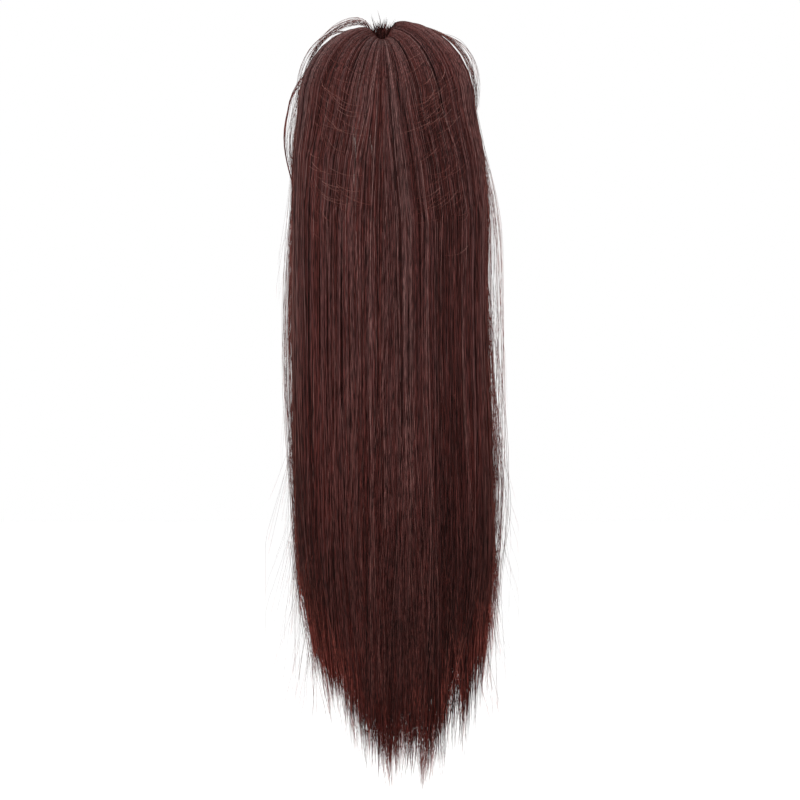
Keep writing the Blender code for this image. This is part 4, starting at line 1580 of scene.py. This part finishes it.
@dataclass
class GripComb:
    """The comb in the cap's mouth: a rounded spine bent along the rim, with tapering teeth."""

    half_angle: float = math.radians(27)
    teeth: int = 9
    spine_height: float = 4.5 * MM
    thickness: float = 2 * MM
    tooth_length: float = 17 * MM
    tooth_root: float = 1.7 * MM
    tooth_tip: float = 0.8 * MM
    middle_y: float = -5 * MM
    inset: float = 3.35 * MM

    def spine(self, cap: NetCap) -> bpy.types.Object:
        """A boxy oval carried along the mouth's upper rim, with rounded ends."""
        run = np.linspace(-1, 1, 49)[:, None]
        turn = QUARTER - run * self.half_angle
        shrink = np.sqrt(np.clip(1 - np.abs(run) ** 14, 0.02, 1))
        around = round_ring(16)[None]
        high = boxy(np.cos(around), 0.6) * self.spine_height / 2 * shrink
        deep = boxy(np.sin(around), 0.6) * self.thickness / 2 * shrink
        ring = cap.shell(turn + 0 * around, 0 * around + 0 * turn, high - self.inset - self.spine_height / 2)
        ring[..., 1] = self.middle_y + deep
        return cap.rings("comb_spine", ring, False)

    def tines(self, cap: NetCap) -> bpy.types.Object:
        """The teeth: square-sided tapers that run straight down from the spine to a rounded point."""
        column = np.linspace(-1, 1, self.teeth) * self.half_angle * 0.93
        rim = cap.shell(QUARTER - column, 0 * column, -self.inset - self.spine_height * 0.7 + 0 * column)
        low = cap.half_height - self.inset - self.spine_height - self.tooth_length
        run = np.linspace(0, 1, 10)[None]
        height = rim[:, 2:] + (low - rim[:, 2:]) * run
        paths = np.stack([rim[:, :1] + 0 * run, self.middle_y + 0 * height, height], -1)
        width = self.tooth_root + (self.tooth_tip - self.tooth_root) * run
        radii = width / 2 * np.sqrt(1.02 - run**8) + 0 * height
        turns = 8
        around = round_ring(turns)
        offset = np.stack([np.cos(around), 0.9 * np.sin(around), 0 * around], -1)
        rings = paths[:, :, None] + radii[..., None, None] * offset
        count, rows = rings.shape[:2]
        each = rows * turns + 1
        tip = paths[:, -1:] - np.array([0, 0, 0.35 * MM])
        points = np.concatenate([rings.reshape(count, -1, 3), tip], axis=1).reshape(-1, 3)
        grid = np.arange(rows * turns).reshape(rows, turns)
        after = np.roll(grid, -1, axis=1)
        sides = np.stack([grid[:-1], grid[1:], after[1:], after[:-1]], -1).reshape(-1, 4)
        end = np.stack([grid[-1], 0 * grid[-1] + each - 1, after[-1]], -1)
        butt = np.stack([0 * grid[0, 1:-1], grid[0, 1:-1], grid[0, 2:]], -1)
        base = (np.arange(count) * each)[:, None, None]
        quads = (sides[None] + base).reshape(-1, 4)
        triangles = (np.concatenate([end, butt])[None] + base).reshape(-1, 3)
        places = points[:, [0, 2]] * 8 + 0.5
        piece = put_mesh("comb_teeth", points, quads, places[quads], triangles, places[triangles])
        turn_out(piece)
        return piece

    def build(self, cap: NetCap) -> None:
        """Build and dress the comb."""
        fit(self.spine(cap), COMB_PLASTIC, Slot.COMB, "comb")
        fit(self.tines(cap), COMB_PLASTIC, Slot.COMB, "comb")


@dataclass(frozen=True)
class Lamp:
    """A square soft light: its name, its place, its size in metres and its power in watts."""

    name: str
    place: tuple[float, float, float]
    size: float
    power: float


LAMPS = (
    Lamp("key_light", (-0.9, -1.9, 1.1), 1.4, 26),
    Lamp("fill_light", (1.3, -1.7, 0.5), 1.6, 14),
    Lamp("top_light", (0.1, -0.5, 1.6), 1.0, 14),
)


@dataclass
class Studio:
    """The floor, the light and the camera."""

    picture_width: float = 0.576
    centre: tuple[float, float] = (10.8 * MM, -194.4 * MM)
    distance: float = 2.2
    subject_y: float = -13 * MM
    floor_height: float = -0.56
    floor_size: float = 14.0

    def floor(self) -> None:
        """A plain pale floor, a little uneven so that it isn't a single flat face."""
        side = np.linspace(-0.5, 0.5, 41) * self.floor_size
        x, y = np.meshgrid(side, side)
        points = np.stack([x, y, self.floor_height + 0 * x], -1).reshape(-1, 3)
        grid = np.arange(len(points)).reshape(x.shape)
        quads = np.stack([grid[:-1, :-1], grid[:-1, 1:], grid[1:, 1:], grid[1:, :-1]], -1).reshape(-1, 4)
        places = points[:, :2] / self.floor_size + 0.5
        floor = put_mesh("floor", points, quads, places[quads])
        floor.data.materials.append(FLOOR_PAPER.material())

    def light(self, lamp: Lamp) -> None:
        """Hang a lamp and aim it at the hair's middle."""
        light = bpy.data.lights.new(lamp.name, "AREA")
        light.size = lamp.size
        light.energy = lamp.power
        holder = bpy.data.objects.new(lamp.name, light)
        holder.location = lamp.place
        aim = np.array([self.centre[0], 0.0, self.centre[1]]) - np.array(lamp.place)
        holder.rotation_mode = "QUATERNION"
        holder.rotation_quaternion = Vector(aim.tolist()).to_track_quat("-Z", "Y")
        bpy.context.scene.collection.objects.link(holder)

    def camera(self) -> None:
        """A level camera square to the front, whose picture is as wide as the photograph's at the hair."""
        lens = bpy.data.cameras.new("camera")
        lens.sensor_width = 36.0
        lens.lens = lens.sensor_width * self.distance / self.picture_width
        holder = bpy.data.objects.new("camera", lens)
        holder.location = (self.centre[0], self.subject_y - self.distance, self.centre[1])
        holder.rotation_euler = (QUARTER, 0, 0)
        bpy.context.scene.collection.objects.link(holder)
        bpy.context.scene.camera = holder

    def build(self) -> None:
        """Set the studio up."""
        self.floor()
        self.camera()
        for lamp in LAMPS:
            self.light(lamp)
        world = bpy.data.worlds.new("studio")
        world.use_nodes = True
        world.node_tree.nodes["Background"].inputs["Color"].default_value = (1, 1, 1, 1)
        world.node_tree.nodes["Background"].inputs["Strength"].default_value = 1.0
        bpy.context.scene.world = world
        bpy.context.scene.view_settings.view_transform = "Standard"


def main() -> None:
    """Build the studio and every piece in order."""
    logging.basicConfig(level=logging.INFO, format="%(message)s")
    Studio().build()
    OuterHair(np.random.default_rng(11), Side.LEFT, LEFT_GAPS).build()
    OuterHair(np.random.default_rng(12), Side.RIGHT, RIGHT_GAPS).build()
    Fringe(np.random.default_rng(41)).build()
    InnerLength(np.random.default_rng(21)).build()
    LooseHair(np.random.default_rng(31)).build()
    cap = NetCap()
    cap.build()
    GripComb().build(cap)


if __name__ == "__main__":
    main()
